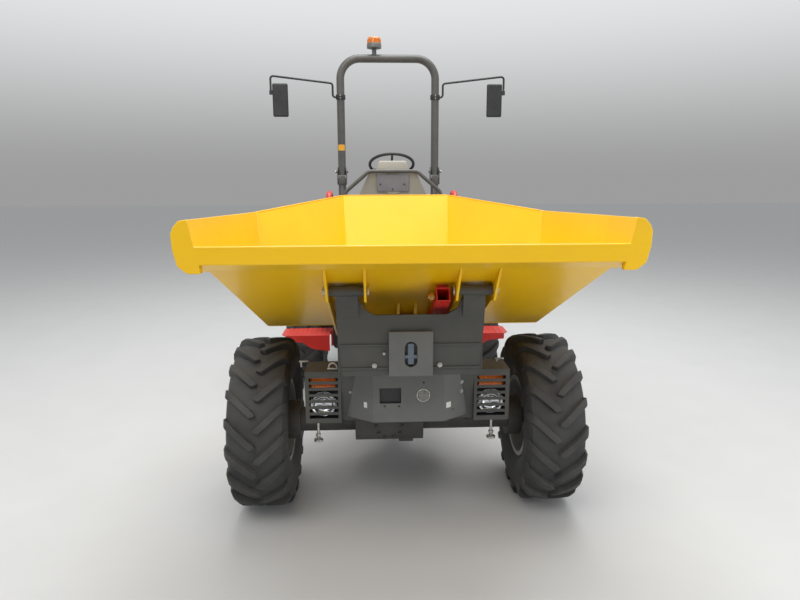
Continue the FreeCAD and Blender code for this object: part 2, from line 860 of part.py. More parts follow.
# Barrel with its collar, base eye and base pin.
def ram_barrel(base, eye, across, radius, rod_radius, neck, length, eye_radius, eye_width, pin_length):
    body = rod(ram_point(base, eye, neck), ram_point(base, eye, length), radius)
    collar = rod(ram_point(base, eye, length - radius), ram_point(base, eye, length), radius + 5)
    throat = rod(base, ram_point(base, eye, neck + 1), eye_radius * 0.6)
    ring = ram_cross(base, across, eye_width, eye_radius)
    pin = ram_cross(base, across, pin_length, ram_pin_radius)
    bore = rod(ram_point(base, eye, neck + 12), ram_point(base, eye, length + 1), rod_radius + pin_fit)
    return fused([body, collar, throat, ring, pin]).cut(bore)


def ram_rod(base, eye, across, rod_radius, start, eye_radius, eye_width):
    total = (Vector(*eye) - Vector(*base)).Length
    shaft = rod(ram_point(base, eye, start), ram_point(base, eye, total - eye_radius * 0.5), rod_radius)
    return fused([shaft, ram_cross(eye, across, eye_width, eye_radius)])


def tip_ram_ends():
    return (0, tip_base_y, tip_base_z), (0, tip_eye_y, tip_eye_z), (1, 0, 0)


def tip_barrel():
    base, eye, across = tip_ram_ends()
    length = math.hypot(tip_eye_y - tip_base_y, tip_eye_z - tip_base_z) - tip_barrel_dead
    pin_length = tip_ram_eye_width + 2 * (side_play + tip_lug_wall)
    return ram_barrel(base, eye, across, tip_barrel_radius, tip_rod_radius, tip_ram_neck, length, tip_ram_eye,
                      tip_ram_eye_width, pin_length)


def tip_rod():
    base, eye, across = tip_ram_ends()
    return ram_rod(base, eye, across, tip_rod_radius, tip_rod_start, tip_ram_eye, tip_ram_eye_width)


def steer_ram_ends():
    base = (steer_base_x, wheelbase / 2 - steer_base_back, steer_z)
    eye = (steer_eye_x, wheelbase / 2 + steer_eye_rear, steer_z)
    return base, eye, (0, 0, 1)


def steer_barrel():
    base, eye, across = steer_ram_ends()
    pin_length = steer_ram_eye_width + 2 * (side_play + steer_lug_wall)
    return ram_barrel(base, eye, across, steer_barrel_radius, steer_rod_radius, steer_ram_neck,
                      steer_barrel_length, steer_ram_eye, steer_ram_eye_width, pin_length)


def steer_rod():
    base, eye, across = steer_ram_ends()
    return ram_rod(base, eye, across, steer_rod_radius, steer_rod_start, steer_ram_eye, steer_ram_eye_width)


# A solid of revolution about a wheel's axis, from (half width, radius) points.
def turned(points, x, y):
    corners = [Vector(x + across, y, tyre_radius + radius) for across, radius in points]
    face = Part.Face(Part.makePolygon(corners + corners[:1]))
    return face.revolve(Vector(x, y, tyre_radius), Vector(1, 0, 0), 360)


# A point of a tyre from its place across, its radius and its turn about the axle.
def tyre_point(across, radius, turn):
    return Vector(across, radius * math.sin(turn), radius * math.cos(turn))


# A flat face through three corners or more.
def flat(corners):
    return Part.Face(Part.makePolygon(list(corners) + [corners[0]]))


# Two flat faces through four corners that don't lie in one plane.
def quad(a, b, c, d):
    return [flat((a, b, c)), flat((a, c, d))]


# One half of a tyre: its lugs stand on a grid that slants as they do. Also gives the
# rings of corners at its middle and at its bead, where the other half joins.
def tyre_half(side):
    tread = tyre_radius - lug_height
    pitch = math.tau / lug_pairs
    first = math.pi + (pitch / 2 if side < 0 else 0)
    slant = lug_rise / tyre_radius
    # half width, radius between the lugs, radius on a lug, share of the lug's slant
    stations = [
        (lug_inner, tread, tyre_radius, 0.0),
        (tread_half, tread, tyre_radius, lug_bend),
        (shoulder_half, tread - shoulder_drop, tyre_radius - lug_bevel, 1.0),
    ]
    low, high = [], []
    for across, radius, lug_top, share in stations:
        turns = []
        for index in range(lug_pairs):
            start = first + index * pitch + slant * share
            turns += [start, start + lug_width / tyre_radius]
        low.append([tyre_point(side * across, radius, turn) for turn in turns])
        high.append([tyre_point(side * across, lug_top, turn) for turn in turns])
    faces = []
    count = 2 * lug_pairs
    for index in range(0, count, 2):
        start, end, after = index, index + 1, (index + 2) % count
        faces += quad(low[0][start], low[0][end], high[0][end], high[0][start])
        faces += quad(low[2][start], low[2][end], high[2][end], high[2][start])
        for near, far in ((0, 1), (1, 2)):
            faces += quad(high[near][start], high[far][start], high[far][end], high[near][end])
            faces += quad(low[near][start], low[far][start], high[far][start], high[near][start])
            faces += quad(low[near][end], low[far][end], high[far][end], high[near][end])
            faces += quad(low[near][end], low[far][end], low[far][after], low[near][after])
    wall, bead = [], []
    for index in range(lug_pairs):
        turn = first + index * pitch + slant
        wall.append(tyre_point(side * tyre_width / 2, tread - wall_drop, turn))
        bead.append(tyre_point(side * (rim_width / 2 - rim_flange),
                               (rim_radius + seat_gap) / math.cos(pitch / 2), turn))
    for index in range(lug_pairs):
        follow = (index + 1) % lug_pairs
        start, end, after = 2 * index, 2 * index + 1, (2 * index + 2) % count
        faces.append(flat((low[2][start], low[2][end], wall[index])))
        faces.append(flat((low[2][end], low[2][after], wall[follow])))
        faces.append(flat((low[2][end], wall[follow], wall[index])))
        faces += quad(wall[index], wall[follow], bead[follow], bead[index])
    return faces, low[0], bead


# The whole tyre about the origin, with the lugs of its halves half a pitch apart.
def tyre_form():
    right, right_middle, right_bead = tyre_half(1)
    left, left_middle, left_bead = tyre_half(-1)
    faces = right + left
    for index in range(lug_pairs):
        a, b, c = 2 * index, 2 * index + 1, (2 * index + 2) % (2 * lug_pairs)
        faces.append(flat((left_middle[a - 1], right_middle[a], right_middle[b])))
        faces.append(flat((left_middle[a - 1], right_middle[b], left_middle[a])))
        faces.append(flat((right_middle[b], left_middle[a], left_middle[b])))
        faces.append(flat((right_middle[b], left_middle[b], right_middle[c])))
        follow = (index + 1) % lug_pairs
        faces.append(flat((right_bead[index], right_bead[follow], left_bead[index])))
        faces.append(flat((left_bead[index], left_bead[follow], right_bead[follow])))
    shell = Part.makeShell(faces)
    shell.sewShape()
    solid = Part.makeSolid(shell)
    if solid.Volume < 0:
        solid.reverse()
    return solid


# Rim with its well and dished disc; the outer side is where outward points.
def rim(x, y, outward):
    half = rim_width / 2
    outer = [
        (-half, rim_radius + rim_flange), (-half + 6, rim_radius + rim_flange),
        (-half + rim_flange, rim_radius),
        (-50, rim_radius), (-30, rim_radius - 26), (30, rim_radius - 26), (50, rim_radius),
        (half - rim_flange, rim_radius), (half - 6, rim_radius + rim_flange), (half, rim_radius + rim_flange),
    ]
    inner = [
        (half, rim_radius - rim_wall), (50 - rim_wall, rim_radius - rim_wall),
        (34, rim_radius - 26 - rim_wall),
        (-34, rim_radius - 26 - rim_wall), (-50 + rim_wall, rim_radius - rim_wall),
        (-half, rim_radius - rim_wall),
    ]
    barrel = turned(outer + inner, x, y)
    disc_x = outward * disc_offset
    near, far = disc_x, disc_x + outward * disc_wall
    disc = turned([
        (near - outward * 30, spindle_radius + pin_fit), (near - outward * 30, hub_radius),
        (near, hub_radius + 20),
        (near - outward * 18, rim_radius - rim_wall - 22), (near - outward * 18, rim_radius - rim_wall + 2),
        (far - outward * 18, rim_radius - rim_wall + 2), (far, hub_radius + 26), (far, hub_cap_radius),
        (far + outward * 24, hub_cap_radius - 6), (far + outward * 24, spindle_radius + pin_fit),
    ], x, y)
    solid = barrel.fuse(disc)
    axis_point = Vector(x, y, tyre_radius)
    for index in range(wheel_hand_holes):
        angle = math.radians(360.0 * index / wheel_hand_holes)
        place = axis_point + Vector(-reach / 2, 150 * math.sin(angle), 150 * math.cos(angle))
        solid = solid.cut(Part.makeCylinder(16, reach, place, Vector(1, 0, 0)))
    for index in range(stud_count):
        angle = math.radians(360.0 * (index + 0.5) / stud_count)
        place = axis_point + Vector(far, stud_circle * 0.75 * math.sin(angle),
                                    stud_circle * 0.75 * math.cos(angle))
        nut = Part.makeCylinder(11, 16, place - Vector(outward * 2, 0, 0), Vector(outward, 0, 0))
        solid = solid.fuse(nut)
    return solid.removeSplitter()


def rear_frame():
    plate_out = rear_plate_x + rear_plate_wall
    pieces = []
    for side in (-1, 1):
        ends = sorted((side * rear_plate_x, side * plate_out))
        pieces.append(block(ends[0], ends[1], rear_frame_front, rear_frame_end, rear_frame_low,
                            rear_frame_top))
        ends = sorted((side * plate_out, side * (rops_half + 45)))
        pieces.append(block(ends[0], ends[1], rops_y - 45, rops_y + 45, rops_foot_z - 60, rops_foot_z))
    pieces.append(block(-plate_out, plate_out, rear_frame_front, rear_frame_front + 20, lug_low_z,
                        rear_frame_top))
    pieces.append(block(-plate_out, plate_out, rear_frame_end - 15, rear_frame_end, rear_frame_low,
                        rear_frame_top))
    for z in (lug_low_z + lug_wall + lug_gap, lug_top_z - 2 * lug_wall - lug_gap):
        pieces.append(yoke_plate(rear_frame_front, z, plate_out * 0.8))
    eye_y = wheelbase / 2 + steer_eye_rear
    for z in steer_lug_levels():
        pieces.append(plan_plate([
            (plate_out * 0.6, rear_frame_front + 5), (plate_out, rear_frame_front + 5),
            (steer_eye_x + 40, rear_frame_front - 40),
            (steer_eye_x + 40, eye_y - 30), (steer_eye_x - 40, eye_y - 30),
            (plate_out * 0.6, rear_frame_front - 60),
        ], z, z + steer_lug_wall))
    frame = fused(pieces)
    frame = frame.cut(rod((0, wheelbase / 2, 0), (0, wheelbase / 2, reach), pivot_pin_radius + pin_fit))
    notch = axle_tube_radius + axle_pad + 20
    frame = frame.cut(block(-reach, reach, wheelbase - notch, wheelbase + notch, 0, axle_seat()))
    return frame.cut(shaft_way())


# Cast block with the towing clevis, and the two rests for the bonnet's hinges.
def counterweight():
    body = block(-weight_half, weight_half, weight_front, weight_rear, weight_low, weight_top)
    upright = [edge for edge in body.Edges
               if abs(edge.tangentAt(0).z) > 0.9 and edge.CenterOfMass.y > body.CenterOfMass.y]
    pieces = [body.makeFillet(weight_corner, upright)]
    rear = tail_place
    for z in (tow_z - tow_gap / 2 - tow_wall, tow_z + tow_gap / 2):
        pieces.append(block(-tow_half, tow_half, weight_rear - 10, rear, z, z + tow_wall))
    for side in (-1, 1):
        low, high = sorted((side * bonnet_hinge_x, side * (bonnet_hinge_x + bonnet_hinge_width)))
        pieces.append(block(low, high, weight_front, bonnet_rear, weight_top - 1, bonnet_low - seat_gap))
    pocket_front = rear - tow_setback - tow_hole - tow_pocket_wall
    pocket = block(-tow_half, tow_half, pocket_front, rear, tow_z - tow_gap / 2, tow_z + tow_gap / 2)
    low, high = tow_z - tow_gap / 2 - tow_wall, tow_z + tow_gap / 2 + tow_wall
    pin_y = rear - tow_setback
    hole = rod((0, pin_y, low), (0, pin_y, high), tow_hole)
    way_below = rod((0, pin_y, 0), (0, pin_y, low), tow_way)
    way_above = rod((0, pin_y, high), (0, pin_y, reach), tow_way)
    return fused(pieces).cut(pocket).cut(hole).cut(way_below).cut(way_above)


def engine_block():
    body = block(-engine_half, engine_half, engine_front, engine_front + engine_length, engine_low,
                 engine_top - 120)
    head = block(-engine_half * 0.6, engine_half * 0.6, engine_front + 30, engine_front + engine_length - 60,
                 engine_top - 120, engine_top)
    feet = []
    for y in (engine_front + 40, engine_front + engine_length - 90):
        feet.append(block(-rear_plate_x, rear_plate_x, y, y + 50, engine_low + 40, engine_low + 60))
    return fused([body, head] + feet)


def gearbox():
    low = tyre_radius + diff_height / 2 + 5
    body = block(-150, 150, gearbox_front, engine_front, low, rear_frame_top - 20)
    start = wheelbase / 2 + shaft_end_gap
    shaft = rod((shaft_x, start, shaft_z), (shaft_x, gearbox_front + 1, shaft_z), shaft_radius)
    feet = []
    for y in (gearbox_front + 40, engine_front - 120):
        feet.append(block(-rear_plate_x, rear_plate_x, y, y + 50, low + 60, low + 80))
    return fused([body, shaft] + feet)


def front_shaft():
    start, low = diff_depth / 2, tyre_radius + 30
    flange = rod((shaft_x, start, low), (shaft_x, start + flange_wall, low), flange_radius)
    shaft = rod((shaft_x, start + flange_wall * 0.7, low),
                (shaft_x, wheelbase / 2 - shaft_end_gap, shaft_z), shaft_radius)
    return flange.fuse(shaft)


def tanks():
    x0 = rear_plate_x + rear_plate_wall
    body = block(x0, x0 + tank_width, tank_front, tank_front + tank_length, tank_low,
                 floor_z - floor_wall - 20)
    edges = [edge for edge in body.Edges if abs(edge.tangentAt(0).y) > 0.9
             and edge.CenterOfMass.z < floor_z - 100]
    return pair(body.makeFillet(30.0, edges))


# Folded platform with a skirt on three sides, cut out round the seat base.
def floor():
    rear = floor_front + floor_length
    sheet = block(-floor_half, floor_half, floor_front, rear, floor_z - floor_wall, floor_z)
    skirts = [block(-floor_half, floor_half, floor_front, floor_front + floor_wall, floor_z - tread_skirt,
                    floor_z)]
    for side in (-1, 1):
        ends = sorted((side * (floor_half - floor_wall), side * floor_half))
        skirts.append(block(ends[0], ends[1], floor_front, rear, floor_z - tread_skirt, floor_z))
        ends = sorted((side * rear_plate_x, side * (rear_plate_x + rear_plate_wall)))
        skirts.append(block(ends[0], ends[1], rear_frame_front, rear, rear_frame_top, floor_z))
    return fused([sheet] + skirts)


# Folded step: level tread with a front face that is deeper at its inner end.
def step():
    rear = step_front + step_depth
    tread = plan_plate([
        (step_inner, step_front), (step_outer - 30, step_front), (step_outer, step_front + 40),
        (step_outer, rear - 20), (step_inner, rear),
    ], step_z - step_wall, step_z)
    face = front_plate([
        (step_inner, step_z), (step_inner, step_z - step_inner_drop),
        (step_inner + 120, step_z - step_inner_drop * 0.85),
        (step_inner + 190, step_z - step_outer_drop), (step_outer - 30, step_z - step_outer_drop * 0.8),
        (step_outer - 30, step_z),
    ], step_front, step_front + step_wall)
    inner_x = rear_plate_x + rear_plate_wall + tank_width
    arm = block(inner_x, step_inner, tank_front + 10, rear - 15, step_z - step_inner_drop, step_z)
    return fused([tread, face, arm])


def mudguard():
    radius = tyre_radius + guard_gap
    centre = Vector(guard_inner, rear_axle_y, tyre_radius)
    outer = Part.makeCylinder(radius + guard_wall, guard_outer - guard_inner, centre, Vector(1, 0, 0))
    inner = Part.makeCylinder(radius, guard_outer - guard_inner, centre, Vector(1, 0, 0))
    ring = outer.cut(inner)
    above = block(0, reach, wheelbase - guard_front_reach, wheelbase + guard_rear_reach, tyre_radius + 190,
                  reach)
    stay = block(seat_half + 60, guard_inner + 2, wheelbase + 45, wheelbase + 125, tyre_radius + radius - 14,
                 tyre_radius + radius + 2)
    return fused([ring.common(above), stay])


def seat_base():
    body = block(-seat_half - 60, seat_half + 60, seat_front + 30, seat_front + 30 + seat_base_length,
                 floor_z, seat_base_top)
    edges = [edge for edge in body.Edges if abs(edge.tangentAt(0).z) > 0.9]
    return body.makeFillet(25.0, edges)


def seat_cushion():
    body = block(-seat_half, seat_half, seat_front, seat_front + cushion_length, seat_base_top + seat_gap,
                 seat_base_top + cushion_height)
    return body.makeFillet(24.0, body.Edges)


def seat_back():
    y = seat_front + cushion_length + seat_gap
    low, high = seat_base_top + seat_gap, seat_base_top + cushion_height + back_height
    outline = [(y, low), (y + back_thickness, low), (y + back_thickness + back_lean, high),
               (y + back_lean, high)]
    body = side_plate(outline, -seat_half, seat_half)
    edges = [edge for edge in body.Edges if edge.CenterOfMass.z > low + 1]
    return body.makeFillet(24.0, edges)


def console():
    y = console_front
    outline = [
        (-console_top_half, console_top), (console_top_half, console_top), (console_wide, console_wide_z),
        (console_wide, console_wide_z - 180), (console_foot_half, floor_z), (-console_foot_half, floor_z),
        (-console_wide, console_wide_z - 180), (-console_wide, console_wide_z),
    ]
    body = front_plate(outline, y, y + console_depth)
    edges = [edge for edge in body.Edges if abs(edge.tangentAt(0).y) > 0.9
             and edge.CenterOfMass.z > floor_z + 50]
    body = body.makeFillet(console_corner, edges)
    cover = rod((0, y - cover_depth, cover_z), (0, y, cover_z), cover_radius)
    cover = cover.cut(block(-reach, reach, y - 50, y, 0, console_wide_z - 20))
    return body.fuse(cover)


# Bent tube over the console, standing on the floor at both sides.
def console_hoop():
    y = console_front - cover_depth - hoop_radius - seat_gap
    top = console_top + hoop_radius
    points = [
        (-hoop_half, y, floor_z), (-hoop_half, y, hoop_shoulder_z), (-console_top_half, y, top),
        (console_top_half, y, top), (hoop_half, y, hoop_shoulder_z), (hoop_half, y, floor_z),
    ]
    return bent_bar(points, hoop_radius, 60.0)


def steering_wheel():
    centre = Vector(0, front_axle_y + wheel_y, wheel_z)
    axis = Vector(0, math.sin(math.radians(wheel_tilt)), math.cos(math.radians(wheel_tilt)))
    ring = Part.makeTorus(wheel_radius, wheel_grip, centre, axis)
    hub = Part.makeCylinder(34, 26, centre - axis * 24, axis)
    pieces = [ring, hub]
    for turn in (90, 210, 330):
        flat = Vector(1, 0, 0).cross(axis)
        angle = math.radians(turn)
        way = Vector(1, 0, 0) * math.cos(angle) + flat * math.sin(angle)
        arm = Part.makeCylinder(8, wheel_radius - 2, centre - axis * 6, way)
        pieces.append(arm)
    foot_y = console_front + console_depth
    reach_back = (wheel_y - foot_y) / axis.y
    column = Part.makeCylinder(column_radius, reach_back, centre - axis * reach_back, axis)
    return fused(pieces + [column.cut(block(-reach, reach, 0, foot_y, 0, reach))])


def handle():
    points = [
        (handle_x, handle_y, floor_z), (handle_x, handle_y, handle_top - handle_radius),
        (handle_x, handle_y + handle_length, handle_top - handle_radius),
        (handle_x, handle_y + handle_length, floor_z),
    ]
    return bent_bar(points, handle_radius, 80.0)


def rops_post():
    post = rod((rops_half, rops_y, rops_foot_z), (rops_half, rops_y, rops_post_top), rops_radius)
    foot = block(rops_half - 60, rops_half + 45, rops_y - 55, rops_y + 55, rops_foot_z, rops_foot_z + 16)
    pieces = [post, foot]
    inside = rops_radius + rops_cheek_play
    for x0 in (rops_half + inside, rops_half - inside - rops_cheek):
        cheek = block(x0, x0 + rops_cheek, rops_y - 40, rops_y + 40, rops_post_top - 60, rops_hinge_z)
        cheek = cheek.fuse(cross_rod(x0, x0 + rops_cheek, rops_y, rops_hinge_z, 40))
        pieces.append(cheek)
    pieces.append(block(rops_half - inside - rops_cheek, rops_half + inside + rops_cheek, rops_y - 30,
                        rops_y + 30, rops_post_top - 50, rops_post_top))
    pin = cross_rod(rops_half - inside - rops_cheek - 12, rops_half + inside + rops_cheek + 12, rops_y,
                    rops_hinge_z, rops_pin_radius)
    return fused(pieces + [pin])


def rops_hoop():
    points = [
        (-rops_half, rops_y, rops_leg_bottom), (-rops_half, rops_y, rops_top), (rops_half, rops_y, rops_top),
        (rops_half, rops_y, rops_leg_bottom),
    ]
    hoop = bent_bar(points, rops_radius, rops_bend)
    return hoop.cut(cross_rod(-reach, reach, rops_y, rops_hinge_z, rops_pin_radius + pin_fit))


def beacon():
    top = rops_top + rops_radius
    seat = rod((beacon_x, rops_y, top - 20), (beacon_x, rops_y, top + beacon_stem), 22)
    seat = seat.cut(cross_rod(-reach, reach, rops_y, rops_top, rops_radius + pin_fit))
    base_z = top + beacon_stem
    base = rod((beacon_x, rops_y, base_z), (beacon_x, rops_y, base_z + beacon_base), beacon_radius)
    dome = rod((beacon_x, rops_y, base_z + beacon_base),
               (beacon_x, rops_y, base_z + beacon_base + beacon_dome), beacon_radius - 4)
    top_edge = [edge for edge in dome.Edges if edge.CenterOfMass.z > base_z + beacon_base + beacon_dome - 1]
    return fused([seat, base, dome.makeFillet(22.0, top_edge)])


def mirror():
    y = rops_y - mirror_setback
    middle_y = y - mirror_depth / 2
    body = block(mirror_x - mirror_half, mirror_x + mirror_half, y - mirror_depth, y, mirror_low,
                 mirror_low + mirror_height)
    body = body.makeFillet(14.0, body.Edges)
    start = rops_half + rops_radius
    turn_x = start + mirror_arm_start
    end_x = mirror_x + mirror_half + mirror_arm_gap
    arm = bent_bar([
        (start, rops_y, mirror_clamp_z), (turn_x, rops_y, mirror_clamp_z), (turn_x, rops_y, mirror_arm_low),
        (end_x, middle_y, mirror_arm_high), (end_x, middle_y, mirror_grip_z),
    ], mirror_arm_radius, mirror_arm_bend)
    grip = block(mirror_x + mirror_half - 6, end_x + 12, middle_y - 12, middle_y + 12, mirror_grip_z,
                 mirror_grip_z + mirror_grip_height)
    clamp = rod((rops_half, rops_y, mirror_clamp_z - 20), (rops_half, rops_y, mirror_clamp_z + 20),
                rops_radius + 8)
    leg = rod((rops_half, rops_y, 0), (rops_half, rops_y, reach), rops_radius)
    return fused([body, arm, grip, clamp]).cut(leg)


# One-piece cover, open below, with slots in its rear face and its sides.
def bonnet():
    outline = [
        (bonnet_front, bonnet_low), (bonnet_front + bonnet_slope * 0.3, bonnet_top - 20),
        (bonnet_front + bonnet_slope, bonnet_top), (bonnet_rear - bonnet_slope, bonnet_top),
        (bonnet_rear, bonnet_top - bonnet_slope), (bonnet_rear, bonnet_low),
    ]
    shell = side_plate(outline, -bonnet_half, bonnet_half)
    inner = [
        (bonnet_front + bonnet_wall, bonnet_low - 1), (bonnet_front + bonnet_slope * 0.3 + bonnet_wall,
                                                       bonnet_top - 25),
        (bonnet_front + bonnet_slope + 2, bonnet_top - bonnet_wall),
        (bonnet_rear - bonnet_slope - 2, bonnet_top - bonnet_wall),
        (bonnet_rear - bonnet_wall, bonnet_top - bonnet_slope - 2),
        (bonnet_rear - bonnet_wall, bonnet_low - 1),
    ]
    shell = shell.cut(side_plate(inner, -bonnet_half + bonnet_wall, bonnet_half - bonnet_wall))
    for index in range(grille_slots):
        z = bonnet_low + 60 + index * 2 * grille_slot_height
        shell = shell.cut(block(-grille_slot_half, grille_slot_half, bonnet_rear - 2 * bonnet_wall,
                                bonnet_rear + 1, z, z + grille_slot_height))
    for index in range(side_slots):
        z = bonnet_low + 90 + index * 2 * grille_slot_height
        shell = shell.cut(block(-reach, reach, bonnet_front + 150, bonnet_rear - 90, z,
                                z + grille_slot_height * 0.7))
    return shell


def rear_lamp():
    body = block(rear_lamp_x - rear_lamp_half, rear_lamp_x + rear_lamp_half, weight_rear,
                 weight_rear + rear_lamp_depth, rear_lamp_z, rear_lamp_z + rear_lamp_height)
    edges = [edge for edge in body.Edges if abs(edge.tangentAt(0).y) > 0.9]
    return body.makeFillet(10.0, edges)


def build():
    wheel_x = track / 2
    nodes = {
        "skip_tub": skip_tub(),
        "skip_lip": skip_lip(),
        "skip_rails": skip_rails(),
        "skip_prop": skip_prop(),
        "front_frame": front_frame(),
        "eye_plate": eye_plate(),
        "nose_plate": nose_plate(),
        "lamp_guards": pair(lamp_guard()),
        "headlamps": pair(headlamp()),
        "frame_pins": tip_pins(),
        "front_axle": axle(0, diff_offset),
        "front_shaft": front_shaft(),
        "tip_barrel": tip_barrel(),
        "tip_rod": tip_rod(),
        "steer_barrel": steer_barrel(),
        "steer_rod": steer_rod(),
        "rear_frame": rear_frame(),
        "rear_axle": axle(wheelbase, 0),
        "counterweight": counterweight(),
        "engine_block": engine_block(),
        "gearbox": gearbox(),
        "tanks": tanks(),
        "floor": floor(),
        "steps": pair(step()),
        "mudguards": pair(mudguard()),
        "seat_base": seat_base(),
        "seat_cushion": seat_cushion(),
        "seat_back": seat_back(),
        "console": console(),
        "console_hoop": console_hoop(),
        "steering_wheel": steering_wheel(),
        "handles": pair(handle()),
        "rops_posts": pair(rops_post()),
        "rops_hoop": rops_hoop(),
        "beacon": beacon(),
        "mirrors": pair(mirror()),
        "bonnet": bonnet(),
        "rear_lamps": pair(rear_lamp()),
    }
    tyre = tyre_form()
    for place, y in (("front", front_axle_y), ("rear", rear_axle_y)):
        for hand, side in (("left", 1), ("right", -1)):
            nodes["tyre_" + place + "_" + hand] = tyre.translated(Vector(side * wheel_x, y, tyre_radius))
            nodes["rim_" + place + "_" + hand] = rim(side * wheel_x, y, side)
    return nodes


os.makedirs(parts_folder, exist_ok=True)
for name, shape in build().items():
    shape.exportStep(os.path.join(parts_folder, name + ".step"))
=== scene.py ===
import bpy, bmesh, math
from mathutils import Matrix, Vector


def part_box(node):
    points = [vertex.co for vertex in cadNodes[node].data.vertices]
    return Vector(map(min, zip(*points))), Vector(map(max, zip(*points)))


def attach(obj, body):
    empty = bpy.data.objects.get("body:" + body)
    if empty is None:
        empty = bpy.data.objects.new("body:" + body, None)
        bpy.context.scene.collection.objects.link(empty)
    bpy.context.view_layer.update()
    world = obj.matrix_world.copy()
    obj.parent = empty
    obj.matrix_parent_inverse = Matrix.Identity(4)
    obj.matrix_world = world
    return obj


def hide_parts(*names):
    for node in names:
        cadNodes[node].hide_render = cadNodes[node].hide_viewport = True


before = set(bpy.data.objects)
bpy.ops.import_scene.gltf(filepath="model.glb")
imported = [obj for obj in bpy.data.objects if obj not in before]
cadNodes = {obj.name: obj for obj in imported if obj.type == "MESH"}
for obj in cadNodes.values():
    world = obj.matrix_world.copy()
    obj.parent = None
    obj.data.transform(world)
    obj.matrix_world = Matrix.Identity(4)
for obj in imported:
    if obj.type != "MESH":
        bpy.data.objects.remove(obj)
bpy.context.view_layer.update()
bpy.context.scene.view_settings.view_transform = "Standard"
frontAxleY = -1.13
rearAxleY = 0.89
wheelZ = 0.4225  # height of the axles, and the radius of the tyres
weldDistance = 0.00005  # points that lie closer than this are one
print("frame loaded")


# Camera, floor and lights
camera = {"place": (-0.154, -4.123, 1.62), "tilt": 79.03, "pan": -2.56, "roll": -0.18, "lens": 27.47}
stage = {"floorColour": (0.60, 0.595, 0.58, 1), "skyStrength": 0.55, "skyColour": (0.93, 0.96, 1.0, 1),
         "backdropLow": (0.34, 0.34, 0.34, 1), "backdropHigh": (0.80, 0.81, 0.82, 1), "backdropRise": 0.30}
lamps = [  # name, place, aimed at, size, power, colour
    ("skyKey", (-2.2, -4.6, 6.2), (0, -0.6, 0.9), 4.5, 190, (1.0, 0.98, 0.95)),
    ("skyTop", (0.6, 0.8, 7.0), (0, 0, 0.8), 6.0, 430, (0.97, 0.99, 1.0)),
    ("lowFill", (3.4, -3.4, 1.4), (0, -0.8, 0.7), 2.4, 25, (1.0, 1.0, 1.0)),
]


def addCamera():
    data = bpy.data.cameras.new("photoCamera")
    data.lens = camera["lens"]
    data.sensor_width = 36
    data.clip_end = 200
    eye = bpy.data.objects.new("photoCamera", data)
    turn = Matrix.Rotation(math.radians(camera["pan"]), 4, "Z")
    turn = turn @ Matrix.Rotation(math.radians(camera["tilt"]), 4, "X")
    turn = turn @ Matrix.Rotation(math.radians(camera["roll"]), 4, "Z")
    eye.matrix_world = Matrix.Translation(camera["place"]) @ turn
    bpy.context.scene.collection.objects.link(eye)
    bpy.context.scene.camera = eye


def addLamps():
    for name, place, target, size, power, colour in lamps:
        data = bpy.data.lights.new(name, "AREA")
        data.shape = "DISK"
        data.size = size
        data.energy = power
        data.color = colour
        lamp = bpy.data.objects.new(name, data)
        lamp.location = place
        lamp.rotation_euler = (Vector(target) - Vector(place)).to_track_quat("-Z", "Y").to_euler()
        bpy.context.scene.collection.objects.link(lamp)


def addNode(tree, kind, **inputs):
    node = tree.nodes.new(kind)
    for key, value in inputs.items():
        if key in node.inputs:
            node.inputs[key].default_value = value
        else:
            setattr(node, key, value)
    return node


